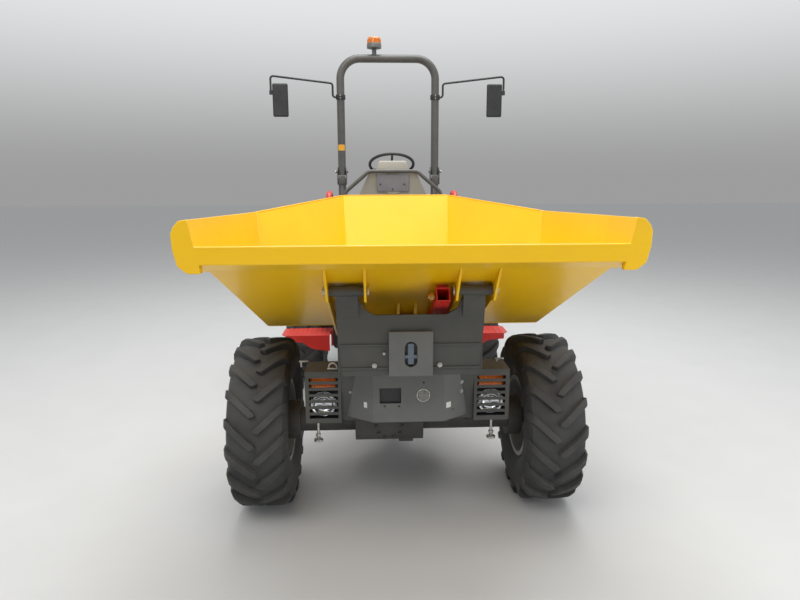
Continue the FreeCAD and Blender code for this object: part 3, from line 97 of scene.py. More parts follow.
def addStage():
    world = bpy.data.worlds.new("softSky")
    world.use_nodes = True
    tree = world.node_tree
    light = tree.nodes["Background"]
    light.inputs["Color"].default_value = stage["skyColour"]
    light.inputs["Strength"].default_value = stage["skyStrength"]
    pale = addNode(tree, "ShaderNodeBackground", Strength=1.0)
    way = addNode(tree, "ShaderNodeTexCoord")
    height = addNode(tree, "ShaderNodeSeparateXYZ")
    rise = addNode(tree, "ShaderNodeMapRange")
    rise.inputs["From Max"].default_value = stage["backdropRise"]
    rise.interpolation_type = "SMOOTHSTEP"
    shade = addNode(tree, "ShaderNodeMix", data_type="RGBA")
    # a colour mix has its colours in sockets 6 and 7, and its result in output 2
    shade.inputs[6].default_value = stage["backdropLow"]
    shade.inputs[7].default_value = stage["backdropHigh"]
    tree.links.new(way.outputs["Generated"], height.inputs[0])
    tree.links.new(height.outputs["Z"], rise.inputs["Value"])
    tree.links.new(rise.outputs["Result"], shade.inputs[0])
    tree.links.new(shade.outputs[2], pale.inputs["Color"])
    path = addNode(tree, "ShaderNodeLightPath")
    seen = addNode(tree, "ShaderNodeMath", operation="MAXIMUM")
    mix = addNode(tree, "ShaderNodeMixShader")
    tree.links.new(path.outputs["Is Camera Ray"], seen.inputs[0])
    tree.links.new(path.outputs["Is Transmission Ray"], seen.inputs[1])
    tree.links.new(seen.outputs[0], mix.inputs[0])
    tree.links.new(light.outputs[0], mix.inputs[1])
    tree.links.new(pale.outputs[0], mix.inputs[2])
    tree.links.new(mix.outputs[0], tree.nodes["World Output"].inputs["Surface"])
    bpy.context.scene.world = world
    bm = bmesh.new()
    bmesh.ops.create_grid(bm, x_segments=1, y_segments=1, size=40)
    floor = makeObject("studioFloor", bm)
    paint = bpy.data.materials.new("paleFloor")
    paint.use_nodes = True
    tree = paint.node_tree
    shader = tree.nodes["Principled BSDF"]
    shader.inputs["Roughness"].default_value = 0.85
    coord = addNode(tree, "ShaderNodeTexCoord")
    grain = addNode(tree, "ShaderNodeTexNoise", Scale=3.0, Detail=6.0)
    tone = addNode(tree, "ShaderNodeMix", data_type="RGBA")
    tone.inputs[6].default_value = stage["floorColour"]
    tone.inputs[7].default_value = tuple(c * 0.93 for c in stage["floorColour"][:3]) + (1,)
    tree.links.new(coord.outputs["Object"], grain.inputs["Vector"])
    tree.links.new(grain.outputs["Fac"], tone.inputs[0])
    tree.links.new(tone.outputs[2], shader.inputs["Base Color"])
    floor.data.materials.append(paint)


# Helpers for meshes
def makeObject(name, bm, smoothAngle=None):
    bmesh.ops.recalc_face_normals(bm, faces=bm.faces)
    mesh = bpy.data.meshes.new(name)
    bm.to_mesh(mesh)
    bm.free()
    if smoothAngle:
        mesh.shade_smooth()
        mesh.set_sharp_from_angle(angle=math.radians(smoothAngle))
    thing = bpy.data.objects.new(name, mesh)
    bpy.context.scene.collection.objects.link(thing)
    return thing


def finishPiece(name, bm, finish, body, smoothAngle=40, replaces=()):
    thing = makeObject(name, bm, smoothAngle)
    thing.data.materials.append(finishes[finish])
    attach(thing, body)
    if replaces:
        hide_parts(*replaces)
    return thing


def addBox(bm, low, high, bevel=0.0, segments=2):
    middle = [(a + b) / 2 for a, b in zip(low, high)]
    size = [b - a for a, b in zip(low, high)]
    put = Matrix.Translation(middle) @ Matrix.Diagonal((*size, 1))
    verts = bmesh.ops.create_cube(bm, size=1, matrix=put)["verts"]
    bevelPart(bm, verts, bevel, segments)


def bevelPart(bm, verts, width, segments=2, sharper=30):
    if width > 0:
        edges = {e for v in verts for e in v.link_edges if e.calc_face_angle(0) > math.radians(sharper)}
        bmesh.ops.bevel(bm, geom=list(edges), offset=width, offset_type="OFFSET", affect="EDGES",
                        segments=segments, profile=0.5, material=-1, clamp_overlap=True)


# A round piece from one point to another, with its rims bevelled.
def addRod(bm, start, end, radius, radiusEnd=None, segments=32, bevel=0.0):
    way = Vector(end) - Vector(start)
    turn = way.to_track_quat("Z", "Y").to_matrix().to_4x4()
    place = Matrix.Translation((Vector(start) + Vector(end)) / 2) @ turn
    verts = bmesh.ops.create_cone(bm, cap_ends=True, segments=segments, radius1=radius,
                                  radius2=radius if radiusEnd is None else radiusEnd, depth=way.length,
                                  matrix=place)["verts"]
    bevelPart(bm, verts, bevel, sharper=50)


# A profile of (radius, along) points turned about an axis.
def addTurned(bm, profile, place, way, steps=48):
    turn = Vector(way).to_track_quat("Z", "Y").to_matrix().to_4x4()
    put = Matrix.Translation(place) @ turn
    verts = [bm.verts.new(put @ Vector((radius, 0, along))) for radius, along in profile]
    edges = [bm.edges.new(pair) for pair in zip(verts, verts[1:])]
    bmesh.ops.spin(bm, geom=verts + edges, cent=place, axis=way, angle=math.tau, steps=steps, use_merge=True)
    bmesh.ops.remove_doubles(bm, verts=bm.verts, dist=weldDistance)


def addBolt(bm, place, way, size=0.01):
    way = Vector(way).normalized()
    start = Vector(place)
    addRod(bm, start, start + way * size * 0.25, size * 1.25, segments=20)
    addRod(bm, start + way * size * 0.25, start + way * size * 0.95, size, size * 0.92, segments=6,
           bevel=size * 0.08)
    addRod(bm, start + way * size * 0.95, start + way * size * 1.2, size * 0.5, size * 0.42, segments=12)


def tubeAlong(bm, points, radius, segments=12):
    curve = bpy.data.curves.new("route", "CURVE")
    curve.dimensions = "3D"
    curve.bevel_depth = radius
    curve.bevel_resolution = max(1, segments // 4)
    curve.use_fill_caps = True
    line = curve.splines.new("NURBS")
    line.points.add(len(points) - 1)
    for spot, point in zip(line.points, points):
        spot.co = (*point, 1)
    line.order_u = 3
    line.use_endpoint_u = True
    line.resolution_u = 8
    holder = bpy.data.objects.new("route", curve)
    bpy.context.scene.collection.objects.link(holder)
    made = bpy.data.meshes.new_from_object(holder.evaluated_get(bpy.context.evaluated_depsgraph_get()))
    bm.from_mesh(made)
    bpy.data.objects.remove(holder)


# Finishes
looks = {
    # colour, tint in patches, roughness low and high, bump height and grain size; dust on top faces
    "skipYellow": {"colour": (0.96, 0.57, 0.0), "tint": (0.92, 0.53, 0.0), "rough": (0.30, 0.42), "coat": 0.2,
                   "grain": 190, "bump": 0.04, "dust": 0.03, "dustColour": (0.90, 0.60, 0.10), "patch": 2.2},
    # the chassis's dark grey paint with painted shade: much darker than plateGrey, which is the same paint
    # where it is lit
    "frameGreyPaintedShade": {"colour": (0.058, 0.059, 0.054), "tint": (0.074, 0.073, 0.065), "rough": (0.36, 0.52),
                  "grain": 160, "bump": 0.06, "dust": 0.12, "dustColour": (0.20, 0.18, 0.15), "patch": 5.0},
    "plateGrey": {"colour": (0.115, 0.118, 0.115), "tint": (0.14, 0.14, 0.13), "rough": (0.34, 0.46),
                  "grain": 180, "bump": 0.05, "dust": 0.2, "dustColour": (0.24, 0.22, 0.19), "patch": 6.0},
    "consoleGrey": {"colour": (0.32, 0.305, 0.25), "tint": (0.35, 0.33, 0.275), "rough": (0.40, 0.55),
                    "grain": 320, "bump": 0.10, "dust": 0.15, "dustColour": (0.38, 0.35, 0.29), "patch": 6.0},
    "coverLilac": {"colour": (0.20, 0.195, 0.215), "tint": (0.24, 0.23, 0.25), "rough": (0.42, 0.55),
                   "grain": 400, "bump": 0.12, "dust": 0.1, "dustColour": (0.35, 0.33, 0.31), "patch": 9.0},
    "hoopGrey": {"colour": (0.085, 0.083, 0.078), "tint": (0.105, 0.10, 0.093), "rough": (0.32, 0.44),
                 "grain": 260, "bump": 0.05, "dust": 0.12, "dustColour": (0.22, 0.2, 0.17), "patch": 4.0},
    "stepRed": {"colour": (0.66, 0.022, 0.016), "tint": (0.56, 0.018, 0.012), "rough": (0.30, 0.42),
                "grain": 180, "bump": 0.05, "dust": 0.2, "dustColour": (0.50, 0.16, 0.11), "patch": 5.0},
    "blackPlastic": {"colour": (0.018, 0.018, 0.020), "tint": (0.03, 0.03, 0.032), "rough": (0.42, 0.58),
                     "grain": 520, "bump": 0.16, "dust": 0.15, "dustColour": (0.12, 0.11, 0.10),
                     "patch": 8.0},
    "castIron": {"colour": (0.050, 0.050, 0.048), "tint": (0.075, 0.070, 0.062), "rough": (0.50, 0.70),
                 "grain": 90, "bump": 0.30, "dust": 0.35, "dustColour": (0.17, 0.15, 0.12), "patch": 7.0},
    "tyreRubber": {"colour": (0.038, 0.038, 0.039), "tint": (0.062, 0.061, 0.058), "rough": (0.62, 0.80),
                   "grain": 140, "bump": 0.14, "dust": 0.35, "dustColour": (0.10, 0.095, 0.088),
                   "patch": 6.0},
    "rimGrey": {"colour": (0.30, 0.30, 0.285), "tint": (0.25, 0.25, 0.235), "rough": (0.34, 0.46),
                "grain": 200, "bump": 0.05, "dust": 0.2, "dustColour": (0.35, 0.32, 0.28), "patch": 6.0},
    "zincSteel": {"colour": (0.58, 0.57, 0.53), "tint": (0.46, 0.45, 0.42), "rough": (0.26, 0.42),
                  "metal": 1.0, "grain": 300, "bump": 0.05, "dust": 0.1, "dustColour": (0.38, 0.35, 0.3),
                  "patch": 30.0},
    "chromeRod": {"colour": (0.78, 0.78, 0.79), "tint": (0.72, 0.72, 0.73), "rough": (0.06, 0.12),
                  "metal": 1.0, "grain": 300, "bump": 0.01, "dust": 0.05, "dustColour": (0.4, 0.38, 0.33),
                  "patch": 12.0},
    "bronze": {"colour": (0.55, 0.30, 0.10), "tint": (0.42, 0.22, 0.07), "rough": (0.28, 0.42), "metal": 1.0,
               "grain": 200, "bump": 0.05, "dust": 0.1, "dustColour": (0.4, 0.3, 0.2), "patch": 30.0},
    "seatCover": {"colour": (0.022, 0.022, 0.024), "tint": (0.034, 0.033, 0.034), "rough": (0.46, 0.62),
                  "grain": 420, "bump": 0.28, "dust": 0.2, "dustColour": (0.10, 0.09, 0.08), "patch": 9.0},
    "lampOrange": {"colour": (0.86, 0.20, 0.01), "tint": (0.78, 0.15, 0.01), "rough": (0.10, 0.18),
                   "coat": 0.6, "grain": 80, "bump": 0.04, "dust": 0.05, "dustColour": (0.7, 0.35, 0.15),
                   "patch": 10.0},
    "lampRed": {"colour": (0.52, 0.01, 0.01), "tint": (0.42, 0.008, 0.008), "rough": (0.10, 0.18),
                "coat": 0.6, "grain": 80, "bump": 0.04, "dust": 0.05, "dustColour": (0.4, 0.15, 0.12),
                "patch": 10.0},
    "mirrorGlass": {"colour": (0.82, 0.83, 0.84), "tint": (0.78, 0.79, 0.80), "rough": (0.02, 0.05),
                    "metal": 1.0, "grain": 60, "bump": 0.0, "dust": 0.0, "dustColour": (0.5, 0.5, 0.5),
                    "patch": 10.0},
    "latchBlue": {"colour": (0.10, 0.13, 0.17), "tint": (0.13, 0.16, 0.20), "rough": (0.34, 0.48),
                  "grain": 200, "bump": 0.06, "dust": 0.15, "dustColour": (0.22, 0.22, 0.2), "patch": 12.0},
    "clearGlass": {"colour": (1.0, 1.0, 1.0), "tint": (0.97, 0.98, 0.98), "rough": (0.02, 0.05), "clear": 1.0,
                   "grain": 60, "bump": 0.0, "dust": 0.0, "dustColour": (0.8, 0.8, 0.8), "patch": 10.0},
    "beaconOrange": {"colour": (0.95, 0.26, 0.01), "tint": (0.90, 0.22, 0.01), "rough": (0.08, 0.16),
                     "clear": 0.35, "coat": 0.5, "grain": 80, "bump": 0.03, "dust": 0.03,
                     "dustColour": (0.8, 0.45, 0.2), "patch": 10.0},
    "stickerOrange": {"colour": (0.88, 0.42, 0.02), "tint": (0.84, 0.39, 0.02), "rough": (0.30, 0.40),
                      "grain": 300, "bump": 0.02, "dust": 0.05, "dustColour": (0.8, 0.5, 0.2), "patch": 30.0},
    "blankLabel": {"colour": (0.80, 0.79, 0.76), "tint": (0.74, 0.73, 0.70), "rough": (0.30, 0.40),
                   "grain": 300, "bump": 0.02, "dust": 0.1, "dustColour": (0.6, 0.57, 0.5), "patch": 40.0},
}


# Colour in soft patches, dust where a face looks up, fine grain in the surface.
def makeFinish(name, look):
    material = bpy.data.materials.new(name)
    material.use_nodes = True
    tree = material.node_tree
    shader = tree.nodes["Principled BSDF"]
    shader.inputs["Metallic"].default_value = look.get("metal", 0.0)
    shader.inputs["Coat Weight"].default_value = look.get("coat", 0.0)
    shader.inputs["Coat Roughness"].default_value = 0.12
    shader.inputs["Transmission Weight"].default_value = look.get("clear", 0.0)
    coord = addNode(tree, "ShaderNodeTexCoord")
    patches = addNode(tree, "ShaderNodeTexNoise", Scale=look["patch"], Detail=5.0, Roughness=0.6)
    spread = addNode(tree, "ShaderNodeMapRange")
    spread.inputs["From Min"].default_value = 0.36
    spread.inputs["From Max"].default_value = 0.64
    tone = addNode(tree, "ShaderNodeMix", data_type="RGBA")
    tone.inputs[6].default_value = (*look["colour"], 1)
    tone.inputs[7].default_value = (*look["tint"], 1)
    tree.links.new(coord.outputs["Object"], patches.inputs["Vector"])
    tree.links.new(patches.outputs["Fac"], spread.inputs["Value"])
    tree.links.new(spread.outputs["Result"], tone.inputs[0])
    # dust settles on top, broken up by finer noise
    facing = addNode(tree, "ShaderNodeSeparateXYZ")
    shape = addNode(tree, "ShaderNodeNewGeometry")
    lift = addNode(tree, "ShaderNodeMapRange")
    lift.inputs["From Min"].default_value = -0.2
    lift.inputs["From Max"].default_value = 1.0
    lift.inputs["To Max"].default_value = look["dust"] * 2
    film = addNode(tree, "ShaderNodeTexNoise", Scale=look["patch"] * 5, Detail=8.0, Roughness=0.7)
    much = addNode(tree, "ShaderNodeMath", operation="MULTIPLY")
    dusty = addNode(tree, "ShaderNodeMix", data_type="RGBA")
    dusty.inputs[7].default_value = (*look["dustColour"], 1)
    tree.links.new(shape.outputs["Normal"], facing.inputs[0])
    tree.links.new(facing.outputs["Z"], lift.inputs["Value"])
    tree.links.new(coord.outputs["Object"], film.inputs["Vector"])
    tree.links.new(lift.outputs["Result"], much.inputs[0])
    tree.links.new(film.outputs["Fac"], much.inputs[1])
    tree.links.new(much.outputs[0], dusty.inputs[0])
    tree.links.new(tone.outputs[2], dusty.inputs[6])
    tree.links.new(dusty.outputs[2], shader.inputs["Base Color"])
    polish = addNode(tree, "ShaderNodeMapRange")
    polish.inputs["From Min"].default_value = 0.3
    polish.inputs["From Max"].default_value = 0.7
    polish.inputs["To Min"].default_value = look["rough"][0]
    polish.inputs["To Max"].default_value = look["rough"][1]
    tree.links.new(film.outputs["Fac"], polish.inputs["Value"])
    tree.links.new(polish.outputs["Result"], shader.inputs["Roughness"])
    if look["bump"] > 0:
        grain = addNode(tree, "ShaderNodeTexNoise", Scale=look["grain"], Detail=3.0)
        bump = addNode(tree, "ShaderNodeBump", Strength=look["bump"], Distance=0.002)
        tree.links.new(coord.outputs["Object"], grain.inputs["Vector"])
        tree.links.new(grain.outputs["Fac"], bump.inputs["Height"])
        tree.links.new(bump.outputs["Normal"], shader.inputs["Normal"])
    return material


finishes = {name: makeFinish(name, look) for name, look in looks.items()}

# which finish a CAD node has, and how wide its edges are rounded
dressing = [
    ("skip_tub", "skipYellow", 0.0015), ("skip_lip", "skipYellow", 0.0035),
    ("skip_rails", "skipYellow", 0.0015), ("skip_prop", "stepRed", 0.002),
    # the frame parts take the dark grey with painted shade, the plates the same grey without it
    ("front_frame", "frameGreyPaintedShade", 0.003), ("eye_plate", "plateGrey", 0.003),
    ("nose_plate", "plateGrey", 0.0015), ("lamp_guards", "frameGreyPaintedShade", 0.001),
    ("frame_pins", "zincSteel", 0.0015), ("front_axle", "castIron", 0.004),
    ("front_shaft", "castIron", 0.002), ("tip_barrel", "frameGreyPaintedShade", 0.002),
    ("tip_rod", "chromeRod", 0.001), ("steer_barrel", "frameGreyPaintedShade", 0.002), ("steer_rod", "chromeRod", 0.001),
    ("rear_frame", "frameGreyPaintedShade", 0.003), ("rear_axle", "castIron", 0.004),
    ("counterweight", "frameGreyPaintedShade", 0.005), ("engine_block", "castIron", 0.006),
    ("gearbox", "castIron", 0.005), ("tanks", "blackPlastic", 0.003),
    ("floor", "frameGreyPaintedShade", 0.0015), ("steps", "stepRed", 0.0015), ("mudguards", "blackPlastic", 0.0015),
    ("seat_base", "frameGreyPaintedShade", 0.002), ("console", "consoleGrey", 0.004), ("console_hoop", "hoopGrey", 0.0),
    ("steering_wheel", "blackPlastic", 0.0), ("handles", "stepRed", 0.0), ("rops_posts", "hoopGrey", 0.002),
    ("rops_hoop", "hoopGrey", 0.0), ("mirrors", "blackPlastic", 0.001), ("bonnet", "consoleGrey", 0.002),
    ("rear_lamps", "blackPlastic", 0.002), ("rim_front_left", "rimGrey", 0.001),
    ("rim_front_right", "rimGrey", 0.001), ("rim_rear_left", "rimGrey", 0.001),
    ("rim_rear_right", "rimGrey", 0.001),
]


def dressNode(name, finish, width):
    thing = cadNodes[name]
    thing.data.materials.clear()
    thing.data.materials.append(finishes[finish])
    weld = thing.modifiers.new("joinEdges", "WELD")
    weld.merge_threshold = weldDistance
    if width > 0:
        rounding = thing.modifiers.new("roundEdges", "BEVEL")
        rounding.width = width
        rounding.segments = 2
        rounding.limit_method = "ANGLE"
        rounding.angle_limit = math.radians(38)
        rounding.use_clamp_overlap = True
        rounding.harden_normals = False


addCamera()
addLamps()
addStage()
for name, finish, width in dressing:
    dressNode(name, finish, width)
print("CAD nodes dressed")


# Tyres with their chevron lugs
tyreLook = {
    "radius": wheelZ, "pairs": 18, "lugWidth": 0.046, "lugRise": 0.126, "steps": 108,
    # (across from the middle, radius) of the carcass, from the middle of the tread to the bead
    "carcass": [(0.0, 0.3965), (0.06, 0.396), (0.098, 0.391), (0.122, 0.379), (0.134, 0.357), (0.1395, 0.33),
                (0.1405, 0.30), (0.137, 0.268), (0.1275, 0.240), (0.118, 0.223), (0.108, 0.2085),
                (0.099, 0.1965)],
    # (across, share of the lug's rise, top radius) along a lug, from the middle to the sidewall
    "lug": [(0.004, 0.0, 0.4195), (0.012, 0.06, 0.4225), (0.045, 0.3, 0.4225), (0.08, 0.56, 0.4215),
            (0.108, 0.78, 0.4185), (0.127, 0.9, 0.407), (0.1375, 0.97, 0.382), (0.1405, 1.0, 0.346)],
    "noseSquare": 0.021, "noseWidth": 0.66, "topWidth": 0.88, "footWidth": 1.12,
    # how deep a lug's foot sits in the tread and, past the edge, in the sidewall
    "edge": 0.13, "treadSunk": 0.004, "sideSunk": 0.012, "sideProud": 0.0018,
}


def carcassRadius(across):
    points = tyreLook["carcass"]
    for (x0, r0), (x1, r1) in zip(points, points[1:]):
        if x0 <= across <= x1:
            return r0 + (r1 - r0) * (across - x0) / (x1 - x0)
    return points[0][1]


# One lug starts as a cube cut into slices, and each slice is put on its place on the tyre.
def addLug(bm, side, turn):
    path = tyreLook["lug"]
    last = len(path) - 1
    rise = tyreLook["lugRise"] / tyreLook["radius"]
    verts = bmesh.ops.create_cube(bm, size=1)["verts"]
    for cut in range(1, last):
        faces = {f for v in verts for f in v.link_faces}
        edges = {e for v in verts for e in v.link_edges}
        made = bmesh.ops.bisect_plane(bm, geom=list(faces | edges | set(verts)), dist=0.00001,
                                      plane_co=(cut / last - 0.5, 0, 0), plane_no=(1, 0, 0))
        verts = list(set(verts) | {g for g in made["geom"] if isinstance(g, bmesh.types.BMVert)})
    for v in verts:
        step = round((v.co.x + 0.5) * last)
        across, share, top = path[step]
        high = v.co.z > 0
        nose = tyreLook["noseWidth"] if step == 0 else 1.0
        width = tyreLook["lugWidth"] * tyreLook["topWidth" if high else "footWidth"] * nose
        if step < 2:
            across += v.co.y * tyreLook["noseSquare"]
            share += v.co.y * tyreLook["noseSquare"] / path[-1][0]
        if across > tyreLook["edge"]:
            low = top - tyreLook["sideSunk"]
            across += tyreLook["sideProud"] if high else -tyreLook["sideSunk"]
        else:
            low = carcassRadius(abs(across)) - tyreLook["treadSunk"]
        theta = turn - rise * share + v.co.y * width / tyreLook["radius"]
        radius = top if high else low
        v.co = Vector((side * across, math.cos(theta) * radius, math.sin(theta) * radius))


def addTyre(wheel, x, y):
    bm = bmesh.new()
    points = tyreLook["carcass"]
    ring = [(-a, r) for a, r in reversed(points[1:])] + points
    inner = [(a * 0.93, r - 0.012) for a, r in reversed(ring)]
    verts = [bm.verts.new((a, 0, r)) for a, r in ring + inner]
    edges = [bm.edges.new(pair) for pair in zip(verts, verts[1:] + verts[:1])]
    bmesh.ops.spin(bm, geom=verts + edges, cent=(0, 0, 0), axis=(1, 0, 0), angle=math.tau,
                   steps=tyreLook["steps"], use_merge=True)
    bmesh.ops.remove_doubles(bm, verts=bm.verts, dist=weldDistance)
    pitch = math.tau / tyreLook["pairs"]
    start = -math.pi / 2 - tyreLook["lugWidth"] / 2 / tyreLook["radius"]
    for index in range(tyreLook["pairs"]):
        addLug(bm, 1, start - index * pitch)
        addLug(bm, -1, start - (index + 0.5) * pitch)
    bmesh.ops.translate(bm, verts=bm.verts, vec=(x, y, tyreLook["radius"]))
    thing = finishPiece("treadTyre_" + wheel, bm, "tyreRubber", "wheel_" + wheel, 34,
                        ["tyre_" + wheel])
    rounding = thing.modifiers.new("roundLugs", "BEVEL")
    rounding.width = 0.003
    rounding.segments = 2
    rounding.limit_method = "ANGLE"
    rounding.angle_limit = math.radians(40)


wheelTrack = 0.6975
wheels = [("front_left", wheelTrack, frontAxleY), ("front_right", -wheelTrack, frontAxleY),
          ("rear_left", wheelTrack, rearAxleY), ("rear_right", -wheelTrack, rearAxleY)]
for wheel, x, y in wheels:
    addTyre(wheel, x, y)
print("tyres made")

# Wheel nuts, valves and hub plugs
wheelLook = {"nuts": 6, "nutCircle": 0.07725, "nutSize": 0.0135, "face": 0.052, "capFace": 0.076,
             "valveAt": 0.164}
for wheel, x, y in wheels:
    out = 1 if x > 0 else -1
    hub = Vector((x, y, tyreLook["radius"]))
    bm = bmesh.new()
    for index in range(wheelLook["nuts"]):
        turn = math.tau * (index + 0.5) / wheelLook["nuts"]
        spot = Vector((0, math.sin(turn), math.cos(turn))) * wheelLook["nutCircle"]
        addBolt(bm, hub + spot + Vector((out * (wheelLook["face"] + 0.006), 0, 0)), (out, 0, 0),
                wheelLook["nutSize"])
    plug = hub + Vector((out * wheelLook["capFace"], 0, 0))
    addRod(bm, plug, plug + Vector((out * 0.006, 0, 0)), 0.052, segments=48, bevel=0.002)
    addBolt(bm, plug + Vector((out * 0.006, 0, 0)), (out, 0, 0), 0.011)
    finishPiece("wheelNuts_" + wheel, bm, "zincSteel", "wheel_" + wheel)
    bm = bmesh.new()
    foot = hub + Vector((out * 0.030, wheelLook["valveAt"] * 0.6, wheelLook["valveAt"] * 0.8))
    addRod(bm, foot, foot + Vector((out * 0.034, 0, 0)), 0.005, 0.0038, segments=16, bevel=0.001)
    finishPiece("valve_" + wheel, bm, "blackPlastic", "wheel_" + wheel)
print("wheels dressed")

# Headlamps behind their guards
headlamp = {"x": 0.389, "half": 0.067, "front": -1.434, "rear": -1.31, "low": 0.543, "high": 0.755,
            "rim": 0.006, "recess": 0.034, "lens": 0.056, "lensZ": 0.612, "signal": (0.686, 0.742)}


def pushedIn(bm, verts, way, border, depth):
    faces = {f for v in verts for f in v.link_faces}
    face = max(faces, key=lambda f: f.calc_center_median().dot(Vector(way)))
    bmesh.ops.inset_region(bm, faces=[face], thickness=border, use_even_offset=True)
    inner = bmesh.ops.extrude_discrete_faces(bm, faces=[face])["faces"][0]
    bmesh.ops.translate(bm, verts=inner.verts, vec=Vector(way) * -depth)


shells, bowls, glass, signals = bmesh.new(), bmesh.new(), bmesh.new(), bmesh.new()
for side in (-1, 1):
    x, half = side * headlamp["x"], headlamp["half"]
    middle = (x, (headlamp["front"] + headlamp["rear"]) / 2, (headlamp["low"] + headlamp["high"]) / 2)
    size = (2 * half, headlamp["rear"] - headlamp["front"], headlamp["high"] - headlamp["low"], 1)
    put = Matrix.Translation(middle) @ Matrix.Diagonal(size)
    shell = bmesh.ops.create_cube(shells, size=1, matrix=put)["verts"]
    pushedIn(shells, shell, (0, -1, 0), headlamp["rim"], headlamp["recess"])
    deep = headlamp["front"] + headlamp["recess"]
    spot, radius = Vector((x, deep - 0.001, headlamp["lensZ"])), headlamp["lens"]
    addTurned(bowls, [(0.0001, 0.0), (radius * 0.3, 0.001), (radius * 0.62, 0.007), (radius * 0.86, 0.017),
                      (radius, 0.029), (radius + 0.003, 0.029), (radius + 0.003, 0.0)], spot, (0, -1, 0), 48)
    addRod(bowls, spot, spot + Vector((0, -0.014, 0)), 0.0075, segments=24, bevel=0.003)
    addTurned(glass, [(0.0001, 0.0335), (radius * 0.5, 0.0328), (radius * 0.9, 0.0305),
                      (radius + 0.002, 0.0293), (radius + 0.002, 0.0278), (radius * 0.5, 0.0310),
                      (0.0001, 0.0317)], spot, (0, -1, 0), 48)
    low, high = headlamp["signal"]
    addBox(signals, (x - half + 0.009, headlamp["front"] + 0.003, low), (x + half - 0.009, deep, high),
           0.004, 3)
    for rib in range(9):
        across = x - half + 0.018 + rib * 0.0122
        addRod(signals, (across, headlamp["front"] + 0.003, low + 0.005),
               (across, headlamp["front"] + 0.003, high - 0.005), 0.0022, segments=8)
finishPiece("headlampHousings", shells, "blackPlastic", "front_chassis", 30, ["headlamps"])
finishPiece("headlampBowls", bowls, "mirrorGlass", "front_chassis", 60)
finishPiece("headlampLenses", glass, "clearGlass", "front_chassis", 60)
finishPiece("turnSignals", signals, "lampOrange", "front_chassis")
print("headlamps made")

# Beacon and rear lamps
beacon = {"x": -0.12, "y": 1.62, "foot": 2.722, "base": 2.780, "dome": 2.820, "top": 2.876, "radius": 0.064}
spot = Vector((beacon["x"], beacon["y"], 0))
bm = bmesh.new()
addTurned(bm, [(0.0001, beacon["foot"]), (0.020, beacon["foot"]), (0.020, beacon["base"] - 0.006),
               (0.040, beacon["base"]), (beacon["radius"], beacon["base"] + 0.002),
               (beacon["radius"] + 0.0005, beacon["dome"] - 0.006),
               (beacon["radius"] - 0.003, beacon["dome"]), (0.0001, beacon["dome"])], spot, (0, 0, 1), 64)
finishPiece("beaconBase", bm, "plateGrey", "rops", 35, ["beacon"])
bm = bmesh.new()
wide, high = beacon["radius"] - 0.004, beacon["top"] - beacon["dome"]
addTurned(bm, [(0.0001, 0.0), (wide, 0.0), (wide, high * 0.50), (wide * 0.95, high * 0.75),
               (wide * 0.80, high * 0.91), (wide * 0.5, high * 0.98), (0.0001, high)],
               spot + Vector((0, 0, beacon["dome"])), (0, 0, 1), 64)
for rib in range(24):
    turn = math.tau * rib / 24
    edge = spot + Vector((math.cos(turn), math.sin(turn), 0)) * (wide - 0.0005)
    addRod(bm, edge + Vector((0, 0, beacon["dome"] + 0.003)),
           edge + Vector((0, 0, beacon["dome"] + high * 0.55)), 0.0018, segments=8)
finishPiece("beaconDome", bm, "beaconOrange", "rops", 40)

rearLamp = {"x": 0.33, "half": 0.038, "face": 1.946, "proud": 0.005, "red": (0.768, 0.804),
            "orange": (0.726, 0.762)}
for colour, finish, slot in (("red", "lampRed", "red_lens"), ("orange", "lampOrange", "orange_dome")):
    bm = bmesh.new()
    low, high = rearLamp[colour]
    for side in (-1, 1):
        x = side * rearLamp["x"]
        addBox(bm, (x - rearLamp["half"], rearLamp["face"] - 0.004, low),
               (x + rearLamp["half"], rearLamp["face"] + rearLamp["proud"], high), 0.003, 3)
    finishPiece("rearLens_" + colour, bm, finish, "rear_chassis")
print("beacon and rear lamps made")

# Seat
seat = {
    # low and high corner of each pad before it swells
    "cushion": {"low": (-0.222, 0.918, 0.996), "high": (0.222, 1.312, 1.064), "lean": 0.0},
    "back": {"low": (-0.222, 1.352, 1.004), "high": (0.222, 1.404, 1.482), "lean": 0.125},
    "voxel": 0.006, "pressure": 4.0, "cap": 0.022, "seams": [-0.118, 0.118], "seamDepth": 0.0065,
    "seamWidth": 0.009,
}


def swellPad(thing):
    rest = [v.co.copy() for v in thing.data.vertices]
    cloth = thing.modifiers.new("swell", "CLOTH")
    cloth.settings.use_pressure = True
    cloth.settings.uniform_pressure_force = seat["pressure"]
    cloth.settings.effector_weights.gravity = 0
    cloth.settings.quality = 5
    scene = bpy.context.scene
    for step in range(1, 21):
        scene.frame_set(step)
        bpy.context.view_layer.update()
    swollen = thing.evaluated_get(bpy.context.evaluated_depsgraph_get()).data
    places = [v.co.copy() for v in swollen.vertices]
    thing.modifiers.remove(cloth)
    scene.frame_set(1)
    for vertex, before, after in zip(thing.data.vertices, rest, places):
        move = after - before
        if move.length > seat["cap"]:
            move = move.normalized() * seat["cap"]
        vertex.co = before + move


